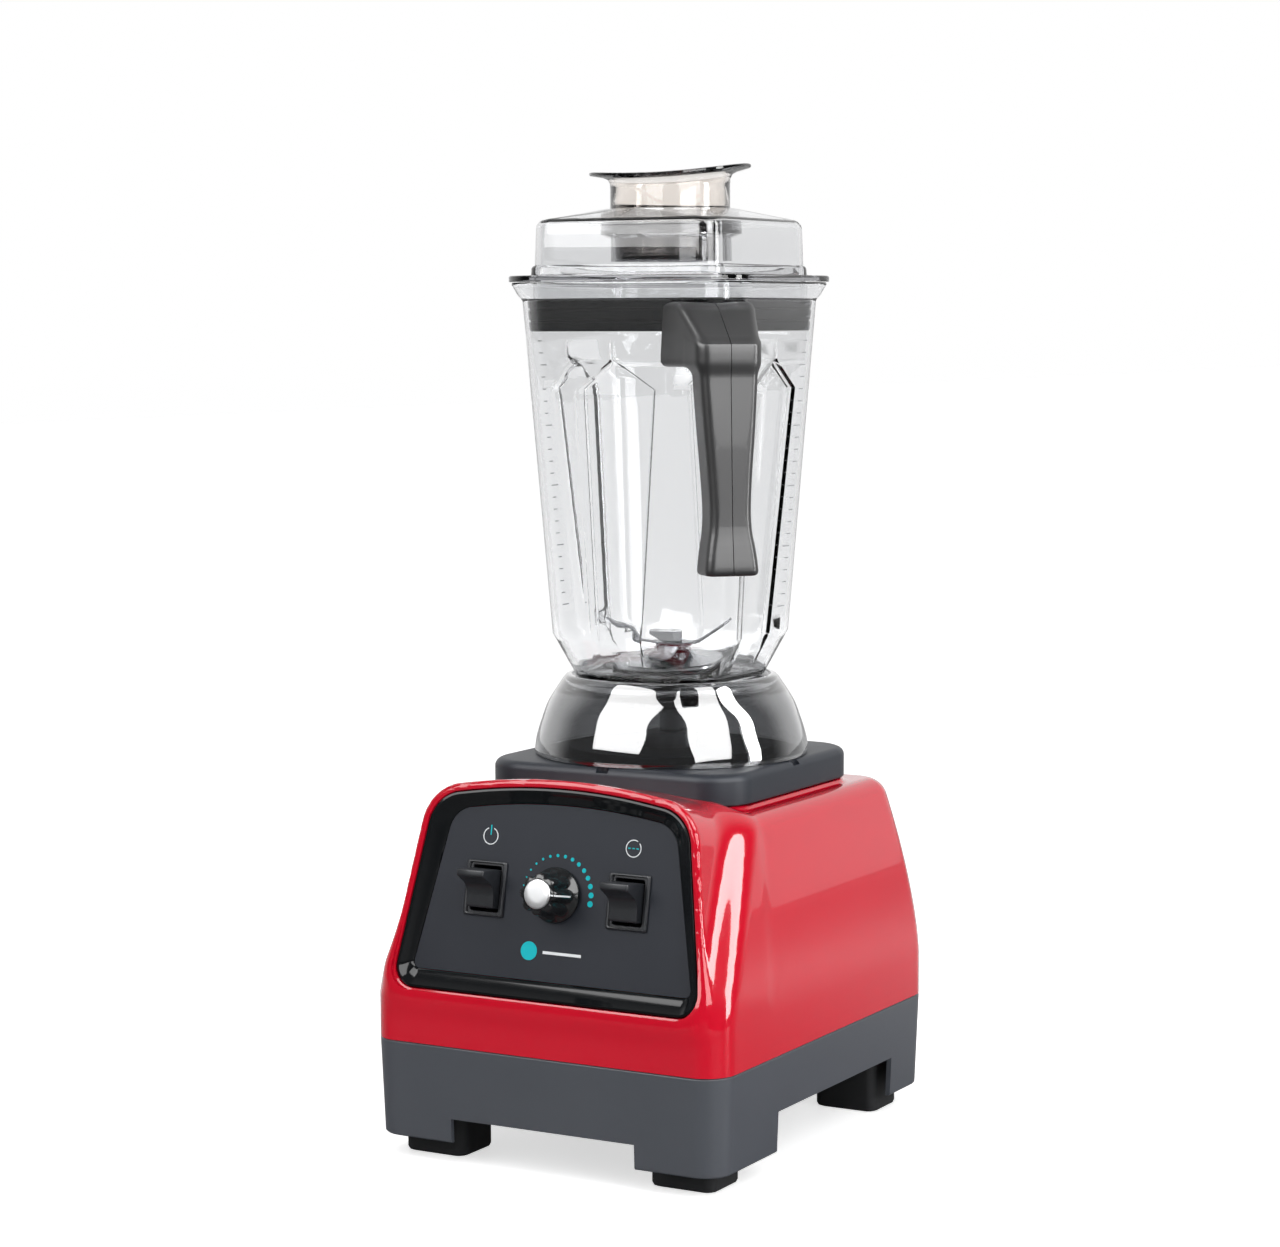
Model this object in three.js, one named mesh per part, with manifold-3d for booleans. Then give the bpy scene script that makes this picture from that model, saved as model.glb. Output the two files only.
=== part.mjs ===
// Countertop blender: a red and grey motor base with a control panel, a clear square jar with
// its handle and blades, and a clear lid with a removable plug. Millimetres, +Z up, the front
// faces -Y, and the origin is on the table under the middle of the base.

import * as THREE from 'three';
import { mergeVertices } from 'three/addons/utils/BufferGeometryUtils.js';
import Module from 'manifold-3d';

const wasm = await Module();
wasm.setup();

// ---------------------------------------------------------------- driving dimensions

const gap = 0.3;                 // clearance between pieces that touch
const runningGap = 0.5;          // clearance round pieces that turn or tilt

const baseWidth = 226;
const baseDepth = 270;
const baseCorner = 18;           // plan radius of the base corners
const baseWall = 3;
const skirtBottom = 12;          // lower housing's edge above the table
const lowerDraft = 2.4;          // the lower housing narrows by this much a side at its edge
const seamHeight = 67.5;         // joint between the two housings
const frontCutTop = 25.9;        // arch between the front legs
const frontCutHalf = 59;
const sideCutTop = 35.2;         // arch between the legs of one side
const frontLegDepth = 72;
const rearLegDepth = 50;
const floorThickness = 3;
const housingTop = 199;          // top face of the upper housing
const leanStart = 92;            // the upper housing is upright below this height
const sideLean = 18.5;           // how far each side leans in at the top
const rearLean = 15;
const frontLean = 63;
const topEdge = 9;               // rounding of the housing's top edge
const plinthHeight = 3;          // raised seat under the jar pad

const footWidth = 40;
const footDepth = 34;
const footInset = 33;            // foot centre from the side of the base
const footScrewRadius = 2.5;
const footScrewHead = 5;
const bossRadius = 6;

const panelTilt = 10.9 * Math.PI / 180;
const panelFoot = 90;            // height of the panel's lower reference line
const panelSetback = 7.7;        // panel face behind the front of the base at that line
const rimProud = 7;              // hood rim in front of the panel face
const hoodWall = 5;
const surroundLip = 2;
const surroundBack = 6;
const plateThickness = 3;
const contourSide = 14.3;        // recess edge from the side of the base, at the bottom
const contourTopSide = 13;       // and at the top corner
const contourBottom = 7.5;
const contourTop = 116.8;
const archRise = 12.7;
const archRadius = 374;
const faceSideInset = 8.7;       // bevelled wall between the recess edge and the face
const faceTopSideInset = 10;
const faceBottomInset = 10.5;
const faceTopInset = 7;

const switchOffset = 46;         // switch centre from the middle of the panel
const switchBezelWidth = 26;
const switchBezelHeight = 31;
const switchBezelProud = 1.8;
const switchMouthWidth = 18.6;
const switchMouthHeight = 25.6;
const switchWall = 2;
const switchDepth = 20;
const paddleReach = 19;          // lever tip in front of the panel face
const knobRadius = 15.5;
const knobGripRadius = 11.6;
const knobHeight = 22;
const knobSkirtHeight = 6;
const knobFlutes = 8;
const knobCapRadius = 8.2;
const controlShaftRadius = 3;
const potRadius = 8.5;
const potLength = 11;

const jarAxisY = 17.5;           // motor and jar axis behind the middle of the base
const padHalf = 82.5;
const padCorner = 26.7;
const padHeight = 17.8;
const padEdge = 5;
const padHubRadius = 60;         // raised ring that centres the jar's skirt
const padHubHeight = 4;
const padHoleRadius = 21;

const shaftRadius = 6;
const socketRadius = 15;
const socketHeight = 28;
const socketHexRadius = 7.4;
const couplingLength = 19;
const statorHalf = 48;
const statorBore = 30.5;
const armatureRadius = 29.5;
const commutatorRadius = 15;
const bearingRadius = 13;
const bearingWidth = 8;
const bracketHalf = 52;
const fanRadius = 44;
const fanBlades = 9;
const tieRodRadius = 2.5;
const tieRodOffset = 38;

const skirtHeight = 46.1;        // the jar's clear foot, from the pad to its shoulder
const skirtRadius = 80.5;
const skirtShoulder = 61.3;
const skirtWall = 3;
const jarWall = 2.5;
const jarFloor = 3.5;
const jarHeight = 229;           // underside to rim
const jarTopHalf = 71.1;         // half width of the square jar under its flare
const jarTopCorner = 32;
const jarBottomHalf = 58.5;
const jarBottomCorner = 30;
const jarChamfer = 23.5;         // height of the sloping foot of the jar
const jarFootHalf = 46;
const jarFootCorner = 20;
const flareHeight = 10.5;
const flareOut = 5.4;            // how far the rim stands out past the walls
const recessDepth = 4;           // the moulded arrow-shaped flute in each wall
const recessFlank = 3.2;         // width of the flute's sloping sides
const recessApex = 43.5;         // below the rim
const recessShoulder = 60.5;
const recessHalf = 26;
const recessFootRight = 9;
const recessFootLeft = -23;

const housingNeckRadius = 25.4;  // blade bearing housing where it passes the jar's floor
const housingFlangeRadius = 34;
const bladeShaftRadius = 4;
const bladeBearingRadius = 11;
const bladeBearingWidth = 7;
const nutRadius = 38;
const nutHeight = 13;
const bladeReach = 42;

const handleAngle = -Math.PI / 4;
const handleTop = 11.5;          // below the jar's rim
const handleBottom = 161.5;
const handleBlock = 47.5;        // underside of the fixing block
const handleShoulder = 33.5;
const handleBlockHalf = 26.6;
const gripBack = 21;             // grip depth
const gripOut = 33.5;            // outer face in front of the jar's corner under the flare
const gripFlare = 5;             // how much further out it is at its foot
const handleWall = 3;
const lugHalf = 4;
const handleScrewRadius = 2;
const handleScrewHead = 3.8;

const lidOverhang = 1.1;         // lid flange past the jar's rim
const lidFlangeCorner = 35;
const lidFlangeHeight = 3.5;
const lidWall = 2.5;
const lidInsert = 28;            // depth of the insert below the flange
const gasketHeight = 17.5;
const gasketWall = 1.7;
const domeSetback = 11.3;        // dome inside the line of the jar's walls
const domeCorner = 12;
const domeHeight = 44;           // flange to the crown, on the axis
const domeSphere = 338;          // radius of the crowned top
const funnelRadius = 37.6;
const collarRadius = 31.5;
const collarDepth = 32.5;        // collar's foot below the crown
const funnelDepth = 16;
const plugRadius = 34.7;
const plugRise = 16;             // plug wall above the crown
const plugFlangeRadius = 46.8;
const plugWave = 1.9;            // half the height of the flange's wave
const plugLean = 2.3;            // and how far its high side stands above the middle
const plugWaveAngle = 22 * Math.PI / 180;
const plugWall = 2.4;
const plugClearance = 0.6;       // round the plug in its collar

const glandRadius = 7;
const glandHeight = 52;
const glandProud = 1.3;

// ---------------------------------------------------------------- sizes that follow

const floorBottom = sideCutTop + 0.5;
const floorTop = floorBottom + floorThickness;
const padBottom = housingTop + plinthHeight + gap;
const padTop = padBottom + padHeight;
const skirtZ = padTop + gap;
const jarBottom = skirtZ + skirtHeight - 1.8;
const flareHalf = jarTopHalf + flareOut;
const lidFlangeHalf = flareHalf + lidOverhang;
const domeHalf = jarTopHalf - domeSetback;
const jarInside = jarBottom + jarFloor;
const jarRim = jarBottom + jarHeight;
const lidBase = jarRim + gap;
const lidCrown = lidBase + domeHeight;

// ---------------------------------------------------------------- shapes and solids

const finishes = {
  red: [0xb3121d, 0.25, 0.0],
  grey: [0x4b515b, 0.55, 0.0],
  black: [0x15171a, 0.3, 0.0],
  panel: [0x2f333a, 0.7, 0.0],
  rubber: [0x22252a, 0.8, 0.0],
  steel: [0xb8bcc0, 0.3, 0.9],
  copper: [0xa5623a, 0.4, 0.8],
  board: [0x1f5a3c, 0.6, 0.0],
  clear: [0xdfe3e5, 0.1, 0.0],
  amber: [0xe5d6bd, 0.1, 0.0],
};

const blender = new THREE.Group();

function makeGroup(parent, x, y, z) {
  const group = new THREE.Group();
  group.position.set(x, y, z);
  parent.add(group);
  return group;
}

function addPiece(parent, name, shape, finish) {
  const [color, roughness, metalness] = finishes[finish];
  const material = new THREE.MeshStandardMaterial({ color, roughness, metalness });
  const mesh = new THREE.Mesh(shape.isBufferGeometry ? shape : toGeometry(shape), material);
  mesh.name = name;
  parent.add(mesh);
  return mesh;
}

function toSolid(geometry) {
  const bare = geometry.clone();
  bare.deleteAttribute('normal');
  bare.deleteAttribute('uv');
  const merged = mergeVertices(bare, 1e-4);
  const vertProperties = new Float32Array(merged.attributes.position.array);
  const triVerts = new Uint32Array(merged.index.array);
  return new wasm.Manifold(new wasm.Mesh({ numProp: 3, vertProperties, triVerts }));
}

function toGeometry(solid) {
  const mesh = solid.getMesh();
  const geometry = new THREE.BufferGeometry();
  const position = new THREE.BufferAttribute(new Float32Array(mesh.vertProperties), 3);
  geometry.setAttribute('position', position);
  geometry.setIndex(Array.from(mesh.triVerts));
  geometry.computeVertexNormals();
  return geometry;
}

// Joins rings of equal point count into one closed body. Each ring runs counter-clockwise seen
// from above. A path that climbs makes an outer wall and one that descends an inner wall.
function loft(rings, closed = false) {
  const count = rings[0].length;
  const index = [];
  const joins = closed ? rings.length : rings.length - 1;
  for (let k = 0; k < joins; k += 1) {
    const low = k * count;
    const high = ((k + 1) % rings.length) * count;
    for (let i = 0; i < count; i += 1) {
      const j = (i + 1) % count;
      index.push(low + i, low + j, high + j, low + i, high + j, high + i);
    }
  }
  if (!closed) {
    const last = (rings.length - 1) * count;
    const flat = (ring) => ring.map((point) => new THREE.Vector2(point.x, point.y));
    for (const [a, b, c] of THREE.ShapeUtils.triangulateShape(flat(rings[0]), [])) {
      index.push(c, b, a);
    }
    for (const [a, b, c] of THREE.ShapeUtils.triangulateShape(flat(rings.at(-1)), [])) {
      index.push(last + a, last + b, last + c);
    }
  }
  const geometry = new THREE.BufferGeometry().setFromPoints(rings.flat());
  geometry.setIndex(index);
  geometry.computeVertexNormals();
  return geometry;
}

// A rectangle with rounded corners, as a ring of points.
function roundedRing(left, right, front, rear, radius, z, segments = 4) {
  const centres = [
    [right - radius, front + radius],
    [right - radius, rear - radius],
    [left + radius, rear - radius],
    [left + radius, front + radius],
  ];
  return centres.flatMap(([x, y], corner) => {
    const start = (corner - 1) * Math.PI / 2;
    return Array.from({ length: segments + 1 }, (_, k) => {
      const angle = start + k * Math.PI / 2 / segments;
      return new THREE.Vector3(x + radius * Math.cos(angle), y + radius * Math.sin(angle), z);
    });
  });
}

// A rounded square about the axis. A crowned ring drops towards its corners, as on a dome.
function squareRing(half, radius, z, sphere = Infinity, segments = 5) {
  const corner = Math.min(radius, half - 0.01);
  const ring = roundedRing(-half, half, -half, half, corner, z, segments);
  for (const point of ring) {
    point.z -= (point.x ** 2 + point.y ** 2) / (2 * sphere);
  }
  return ring;
}

function circleRing(radius, z, count = 32) {
  return Array.from({ length: count }, (_, k) => {
    const angle = k * 2 * Math.PI / count;
    return new THREE.Vector3(radius * Math.cos(angle), radius * Math.sin(angle), z);
  });
}

// An outline with rounded corners, from corners given as [x, y, radius] counter-clockwise.
function roundedOutline(corners, segments = 5) {
  return corners.flatMap(([x, y, radius], i) => {
    const corner = new THREE.Vector2(x, y);
    const before = corners.at(i - 1);
    const after = corners[(i + 1) % corners.length];
    const back = new THREE.Vector2(before[0] - x, before[1] - y).normalize();
    const ahead = new THREE.Vector2(after[0] - x, after[1] - y).normalize();
    if (radius === 0) {
      return [corner];
    }
    const half = Math.acos(back.dot(ahead)) / 2;
    const middle = back.clone().add(ahead).normalize();
    const centre = corner.clone().addScaledVector(middle, radius / Math.sin(half));
    const start = corner.clone().addScaledVector(back, radius / Math.tan(half)).sub(centre);
    const turn = Math.sign(ahead.cross(back)) * (Math.PI - 2 * half);
    return Array.from({ length: segments + 1 }, (_, k) => {
      return start.clone().rotateAround(new THREE.Vector2(), turn * k / segments).add(centre);
    });
  });
}

// Moves every edge of a convex outline outwards and grows its corner radii by as much.
function offsetCorners(corners, distance) {
  return corners.map(([x, y, radius], i) => {
    const before = corners.at(i - 1);
    const after = corners[(i + 1) % corners.length];
    const first = new THREE.Vector2(y - before[1], before[0] - x).normalize();
    const second = new THREE.Vector2(after[1] - y, x - after[0]).normalize();
    const shift = first.clone().add(second).multiplyScalar(distance / (1 + first.dot(second)));
    return [x + shift.x, y + shift.y, Math.max(radius + distance, 0)];
  });
}

function atHeight(points, z) {
  return points.map((point) => new THREE.Vector3(point.x, point.y, z));
}

function prism(points, low, high) {
  const shape = new THREE.Shape(points);
  const geometry = new THREE.ExtrudeGeometry(shape, { depth: high - low, bevelEnabled: false });
  return geometry.translate(0, 0, low);
}

function block(x0, x1, y0, y1, z0, z1) {
  const geometry = new THREE.BoxGeometry(x1 - x0, y1 - y0, z1 - z0);
  return geometry.translate((x0 + x1) / 2, (y0 + y1) / 2, (z0 + z1) / 2);
}

function rod(radius, low, high, x = 0, y = 0, sides = 16) {
  const geometry = new THREE.CylinderGeometry(radius, radius, high - low, sides);
  return geometry.rotateX(Math.PI / 2).translate(x, y, (low + high) / 2);
}

// A turned piece: the profile is [radius, height] round its section, in either sense.
function turned(profile, sides = 20) {
  const closed = profile[0][0] > 0;
  const points = profile.map(([radius, z]) => new THREE.Vector2(radius, z));
  const area = THREE.ShapeUtils.area(points);
  const ordered = area > 0 ? points : points.reverse();
  if (closed) {
    ordered.push(ordered[0].clone());
  }
  return new THREE.LatheGeometry(ordered, sides).rotateX(Math.PI / 2);
}

function tube(inner, outer, low, high, sides = 20) {
  return turned([[inner, low], [outer, low], [outer, high], [inner, high]], sides);
}

// ---------------------------------------------------------------- lower housing and feet

const halfWidth = baseWidth / 2;
const halfDepth = baseDepth / 2;

function lowerRing(inset, z) {
  const draft = lowerDraft * (seamHeight - z) / (seamHeight - skirtBottom);
  const dx = halfWidth - draft - inset;
  const dy = halfDepth - draft - inset;
  return roundedRing(-dx, dx, -dy, dy, Math.max(baseCorner - draft - inset, 2), z);
}

const feetAt = [];
for (const [row, y] of [['front', -1], ['rear', 1]]) {
  for (const [side, x] of [['left', -1], ['right', 1]]) {
    feetAt.push([`${row}_${side}`, x * (halfWidth - footInset), y * (halfDepth - footInset)]);
  }
}

const outerTop = seamHeight - gap;
let lowerHousing = toSolid(loft([lowerRing(0, skirtBottom), lowerRing(0, outerTop)]))
  .subtract(toSolid(loft([lowerRing(baseWall, floorTop), lowerRing(baseWall, outerTop + 1)])))
  .subtract(toSolid(loft([lowerRing(baseWall, skirtBottom - 1), lowerRing(baseWall, floorBottom)])))
  .subtract(toSolid(block(-frontCutHalf, frontCutHalf, -baseDepth, baseDepth, 0, frontCutTop)))
  .subtract(toSolid(block(-baseWidth, baseWidth, frontLegDepth - halfDepth,
    halfDepth - rearLegDepth, 0, sideCutTop)));

// Air slots in the floor under the fan, and the holes for the foot screws.
const slotPitch = 11;
const slotWidth = 5;
for (let k = -3; k <= 3; k += 1) {
  const reach = Math.sqrt(Math.max(fanRadius ** 2 - (k * slotPitch) ** 2, 0)) - 4;
  lowerHousing = lowerHousing.subtract(toSolid(block(
    k * slotPitch - slotWidth / 2, k * slotPitch + slotWidth / 2,
    jarAxisY - reach, jarAxisY + reach, floorBottom - 1, floorTop + 1)));
}
for (const [, x, y] of feetAt) {
  const hole = rod(footScrewRadius + gap, floorBottom - 1, floorTop + 1, x, y, 16);
  lowerHousing = lowerHousing.subtract(toSolid(hole));
}
const glandHole = rod(glandRadius + gap, -baseWall * 3, baseWall * 3, 0, 0, 20)
  .rotateX(Math.PI / 2).translate(0, halfDepth, glandHeight);
lowerHousing = lowerHousing.subtract(toSolid(glandHole));
addPiece(blender, 'lower_housing', lowerHousing, 'grey');

const footTop = floorBottom - gap;
const footHeadSeat = footTop - 14;
for (const [place, x, y] of feetAt) {
  const outline = roundedRing(x - footWidth / 2, x + footWidth / 2,
    y - footDepth / 2, y + footDepth / 2, 6, 0, 3);
  const foot = toSolid(prism(outline, 0, footTop))
    .subtract(toSolid(rod(footScrewRadius + gap, -1, footTop + 1, x, y, 12)))
    .subtract(toSolid(rod(footScrewHead + gap, -1, footHeadSeat, x, y, 12)));
  addPiece(blender, `foot_${place}`, foot, 'rubber');

  const screwTop = floorTop + 22;
  const screw = toSolid(rod(footScrewRadius, footHeadSeat - 2, screwTop, x, y, 12))
    .add(toSolid(rod(footScrewHead, footHeadSeat - 4.5, footHeadSeat - gap, x, y, 12)));
  addPiece(blender, `base_screw_${place}`, screw, 'steel');
}

// ---------------------------------------------------------------- panel frame

const panel = makeGroup(blender, 0, -halfDepth + panelSetback, panelFoot);
panel.rotation.x = Math.PI / 2 - panelTilt;
panel.updateMatrix();

const contour = [
  [-halfWidth + contourSide, contourBottom, 12],
  [halfWidth - contourSide, contourBottom, 12],
  [halfWidth - sideLean - contourTopSide, contourTop, 22],
  [0, contourTop + archRise, archRadius],
  [-halfWidth + sideLean + contourTopSide, contourTop, 22],
];
const faceTop = contourTop - faceTopInset;
const faceBottom = contourBottom + faceBottomInset;
const faceContour = [
  [-halfWidth + contourSide + faceSideInset, faceBottom, 4],
  [halfWidth - contourSide - faceSideInset, faceBottom, 4],
  [halfWidth - sideLean - contourTopSide - faceTopSideInset, faceTop, 16],
  [0, faceTop + archRise - 2, archRadius],
  [-halfWidth + sideLean + contourTopSide + faceTopSideInset, faceTop, 16],
];
const controlRow = (faceBottom + faceTop) / 2 + 2.6;
const faceLine = roundedOutline(faceContour);

// ---------------------------------------------------------------- upper housing

const plinthTop = housingTop + plinthHeight;

function upperRing(inset, z, topInset = 0) {
  const climb = Math.max(z - leanStart, 0) / (housingTop - leanStart);
  const dx = halfWidth - sideLean * climb ** 1.5 - inset - topInset;
  const front = -halfDepth + frontLean * climb ** 1.2 + inset + topInset;
  const rear = halfDepth - rearLean * climb ** 1.5 - inset - topInset;
  return roundedRing(-dx, dx, front, rear, Math.max(baseCorner - inset, 4), z);
}

function upperRings(inset, low) {
  const rings = [upperRing(inset, low)];
  const rise = housingTop - topEdge - leanStart;
  for (const share of [0, 0.25, 0.5, 0.75, 1]) {
    rings.push(upperRing(inset, leanStart + rise * share));
  }
  for (const angle of [30, 60, 90]) {
    const turn = angle * Math.PI / 180;
    const z = housingTop - topEdge + (topEdge - inset) * Math.sin(turn);
    rings.push(upperRing(inset, z, (topEdge - inset) * (1 - Math.cos(turn))));
  }
  return rings;
}

const padFront = jarAxisY - padHalf - gap;
const hoodTopLine = contourTop + archRise + hoodWall;
const hoodEnd = (-padFront - halfDepth + panelSetback + hoodTopLine * Math.sin(panelTilt))
  / Math.cos(panelTilt);
const hoodLine = roundedOutline(offsetCorners(contour, hoodWall));
const recessLine = roundedOutline(offsetCorners(contour, gap));
const hood = prism(hoodLine, hoodEnd, rimProud).applyMatrix4(panel.matrix);
const hoodHollow = prism(recessLine, hoodEnd + hoodWall, rimProud + 20).applyMatrix4(panel.matrix);
const plinth = prism(squareRing(padHalf - 1, padCorner - 1, 0), housingTop - 1, plinthTop)
  .translate(0, jarAxisY, 0);
const padSpace = prism(squareRing(padHalf + gap, padCorner + gap, 0), plinthTop, padTop + 20)
  .translate(0, jarAxisY, 0);

let upperHousing = toSolid(loft(upperRings(0, seamHeight)))
  .add(toSolid(hood))
  .add(toSolid(plinth))
  .subtract(toSolid(padSpace))
  .subtract(toSolid(loft(upperRings(baseWall, seamHeight - 1))))
  .subtract(toSolid(hoodHollow))
  .subtract(toSolid(rod(padHoleRadius, housingTop - 20, plinthTop + 5, 0, jarAxisY, 24)));

// Bosses that take the base screws, joined to the walls by a web.
for (const [, x, y] of feetAt) {
  const bossBottom = floorTop + gap;
  const bossTop = seamHeight + 24;
  const wallX = Math.sign(x) * (halfWidth - 1);
  const web = block(Math.min(x, wallX), Math.max(x, wallX), y - 2, y + 2, seamHeight + 1, bossTop);
  upperHousing = upperHousing
    .add(toSolid(rod(bossRadius, bossBottom, bossTop, x, y, 16)))
    .add(toSolid(web))
    .subtract(toSolid(rod(footScrewRadius + gap, bossBottom - 1, floorTop + 24, x, y, 16)));
}

addPiece(blender, 'upper_housing', upperHousing, 'red');

// ---------------------------------------------------------------- control panel

const contourLine = roundedOutline(contour);
const lipLine = roundedOutline(offsetCorners(contour, -surroundLip));
const surround = loft([
  atHeight(contourLine, -surroundBack),
  atHeight(contourLine, rimProud - 0.4),
  atHeight(lipLine, rimProud - 0.4),
  atHeight(faceLine, 0),
  atHeight(faceLine, -surroundBack),
], true);
addPiece(panel, 'panel_surround', surround, 'black');

const switchBodyWidth = switchMouthWidth + 2 * switchWall;
const switchBodyHeight = switchMouthHeight + 2 * switchWall;
const switchPlaces = [['power', -switchOffset], ['pulse', switchOffset]];
const bushingRadius = controlShaftRadius + 2;
const plateLine = roundedOutline(offsetCorners(faceContour, -gap));
let plate = toSolid(prism(plateLine, -plateThickness, 0))
  .subtract(toSolid(rod(bushingRadius + gap, -plateThickness - 1, 1, 0, controlRow)));
for (const [, x] of switchPlaces) {
  const dx = switchBodyWidth / 2 + gap;
  const dy = switchBodyHeight / 2 + gap;
  const hole = block(x - dx, x + dx, controlRow - dy, controlRow + dy, -plateThickness - 1, 1);
  plate = plate.subtract(toSolid(hole));
}
addPiece(panel, 'panel_plate', plate, 'panel');

// Each switch is a frame with a tilting paddle. The paddle turns on an axis level with the face.
const paddleHalf = switchMouthWidth / 2 - runningGap;
const paddleEnd = switchMouthHeight / 2 - 1.8;
const paddleProfile = [
  [-paddleEnd, -4, 1],
  [0, -9, 6],
  [paddleEnd, -4, 1],
  [paddleEnd - 0.2, 2.5, 1],
  [paddleEnd - 1.4, paddleReach, 1.2],
  [paddleEnd - 4.6, paddleReach, 1.2],
  [-1.5, 3.2, 5],
  [-paddleEnd, 5, 1],
];
const pinRadius = 1.5;
for (const [name, x] of switchPlaces) {
  const frame = toSolid(block(-switchBezelWidth / 2, switchBezelWidth / 2,
    -switchBezelHeight / 2, switchBezelHeight / 2, gap, switchBezelProud))
    .add(toSolid(block(-switchBodyWidth / 2, switchBodyWidth / 2,
      -switchBodyHeight / 2, switchBodyHeight / 2, -switchDepth, 1)))
    .subtract(toSolid(block(-switchMouthWidth / 2, switchMouthWidth / 2,
      -switchMouthHeight / 2, switchMouthHeight / 2, -switchDepth + switchWall, 5)));
  const place = makeGroup(panel, x, controlRow, 0);
  addPiece(place, `${name}_switch_frame`, frame, 'black');

  // The profile lies in the plane of height and depth, and is drawn out across the switch.
  const side = prism(roundedOutline(paddleProfile, 3), -paddleHalf, paddleHalf);
  side.applyMatrix4(new THREE.Matrix4().makeBasis(
    new THREE.Vector3(0, 1, 0), new THREE.Vector3(0, 0, 1), new THREE.Vector3(1, 0, 0)));
  addPiece(place, `${name}_switch_paddle`, side, 'black');
}

// Speed control: a potentiometer behind the plate, its shaft, and the knob with its metal cap.
const dial = makeGroup(panel, 0, controlRow, 0);
const pot = toSolid(rod(potRadius, -plateThickness - gap - potLength, -plateThickness - gap))
  .add(toSolid(rod(bushingRadius, -plateThickness - 1, 5)))
  .subtract(toSolid(rod(controlShaftRadius + gap, -plateThickness - potLength + 2, 10)));
addPiece(dial, 'speed_potentiometer', pot, 'steel');
const controlShaft = rod(controlShaftRadius, -plateThickness - potLength + 2.5, knobHeight - 5);
addPiece(dial, 'control_shaft', controlShaft, 'steel');

const gripPoints = Array.from({ length: knobFlutes * 4 }, (_, k) => {
  const angle = k * 2 * Math.PI / (knobFlutes * 4);
  const radius = knobGripRadius + 0.8 * Math.cos(angle * knobFlutes);
  return new THREE.Vector2(radius * Math.cos(angle), radius * Math.sin(angle));
});
const knobBottom = 0.8;
const knobSkirt = turned([[0, knobBottom], [knobRadius, knobBottom], [knobRadius, 2.4],
  [knobGripRadius, knobSkirtHeight], [0, knobSkirtHeight]], 24);
const knobTop = knobHeight - 0.8;
const knob = toSolid(knobSkirt)
  .add(toSolid(prism(gripPoints, knobSkirtHeight - 1, knobTop)))
  .subtract(toSolid(rod(bushingRadius + 1, 0, 5 + gap + 0.5, 0, 0, 16)))
  .subtract(toSolid(rod(controlShaftRadius + gap, 0, knobHeight - 5 + gap, 0, 0, 16)))
  .subtract(toSolid(rod(knobCapRadius + gap, knobTop - 1.2, knobHeight + 1, 0, 0, 24)));
addPiece(dial, 'speed_knob', knob, 'black');
addPiece(dial, 'knob_cap', rod(knobCapRadius, knobTop - 1.2 + gap, knobHeight, 0, 0, 24), 'steel');

// ---------------------------------------------------------------- jar pad

const axis = makeGroup(blender, 0, jarAxisY, 0);
const pad = toSolid(loft([
  squareRing(padHalf, padCorner, padBottom),
  squareRing(padHalf, padCorner, padTop - padEdge),
  squareRing(padHalf - padEdge * 0.3, padCorner, padTop - padEdge * 0.3),
  squareRing(padHalf - padEdge, padCorner - 1, padTop),
])).add(toSolid(rod(padHubRadius, padTop - 1, padTop + padHubHeight, 0, 0, 32)))
  .subtract(toSolid(rod(padHoleRadius, padBottom - 1, padTop + 20, 0, 0, 24)));
addPiece(axis, 'jar_pad', pad, 'rubber');

// ---------------------------------------------------------------- motor

const fanBottom = floorTop + 5;
const fanTop = fanBottom + 12;
const lowerBracket = fanTop + 5;
const bracketThickness = bearingWidth + 2;
const commutatorBottom = lowerBracket + bracketThickness + 4;
const commutatorTop = commutatorBottom + 14;
const upperBracket = housingTop - 41;
const armatureBottom = commutatorTop + 4;
const armatureTop = upperBracket - 6;

function bracket(low) {
  const outline = squareRing(bracketHalf, 10, 0, Infinity, 3);
  let plate = toSolid(prism(outline, low, low + bracketThickness))
    .subtract(toSolid(rod(bearingRadius + gap, low + 2, low + bracketThickness + 1)))
    .subtract(toSolid(rod(shaftRadius + 2, low - 1, low + 3)));
  for (const [x, y] of [[-1, -1], [1, -1], [1, 1], [-1, 1]]) {
    const hole = rod(tieRodRadius + gap, low - 1, low + bracketThickness + 1,
      x * tieRodOffset, y * tieRodOffset, 12);
    plate = plate.subtract(toSolid(hole));
  }
  return plate;
}

addPiece(axis, 'lower_motor_bracket', bracket(lowerBracket), 'steel');
addPiece(axis, 'upper_motor_bracket', bracket(upperBracket), 'steel');
for (const [name, low] of [['lower_bearing', lowerBracket], ['upper_bearing', upperBracket]]) {
  const ring = tube(shaftRadius + gap, bearingRadius, low + 2 + gap, low + 2 + bearingWidth - gap);
  addPiece(axis, name, ring, 'steel');
}

let stator = toSolid(prism(squareRing(statorHalf, 12, 0, Infinity, 3), armatureBottom, armatureTop))
  .subtract(toSolid(rod(statorBore, armatureBottom - 1, armatureTop + 1, 0, 0, 24)));
const rodTop = housingTop - baseWall - gap;
for (const [name, x, y] of [['front_left', -1, -1], ['front_right', 1, -1],
  ['rear_right', 1, 1], ['rear_left', -1, 1]]) {
  const hole = rod(tieRodRadius + gap, armatureBottom - 1, armatureTop + 1,
    x * tieRodOffset, y * tieRodOffset, 12);
  stator = stator.subtract(toSolid(hole));
  const tie = rod(tieRodRadius, lowerBracket - 3, rodTop, x * tieRodOffset, y * tieRodOffset, 12);
  addPiece(axis, `motor_tie_rod_${name}`, tie, 'steel');
}
addPiece(axis, 'motor_stator', stator, 'copper');

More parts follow.
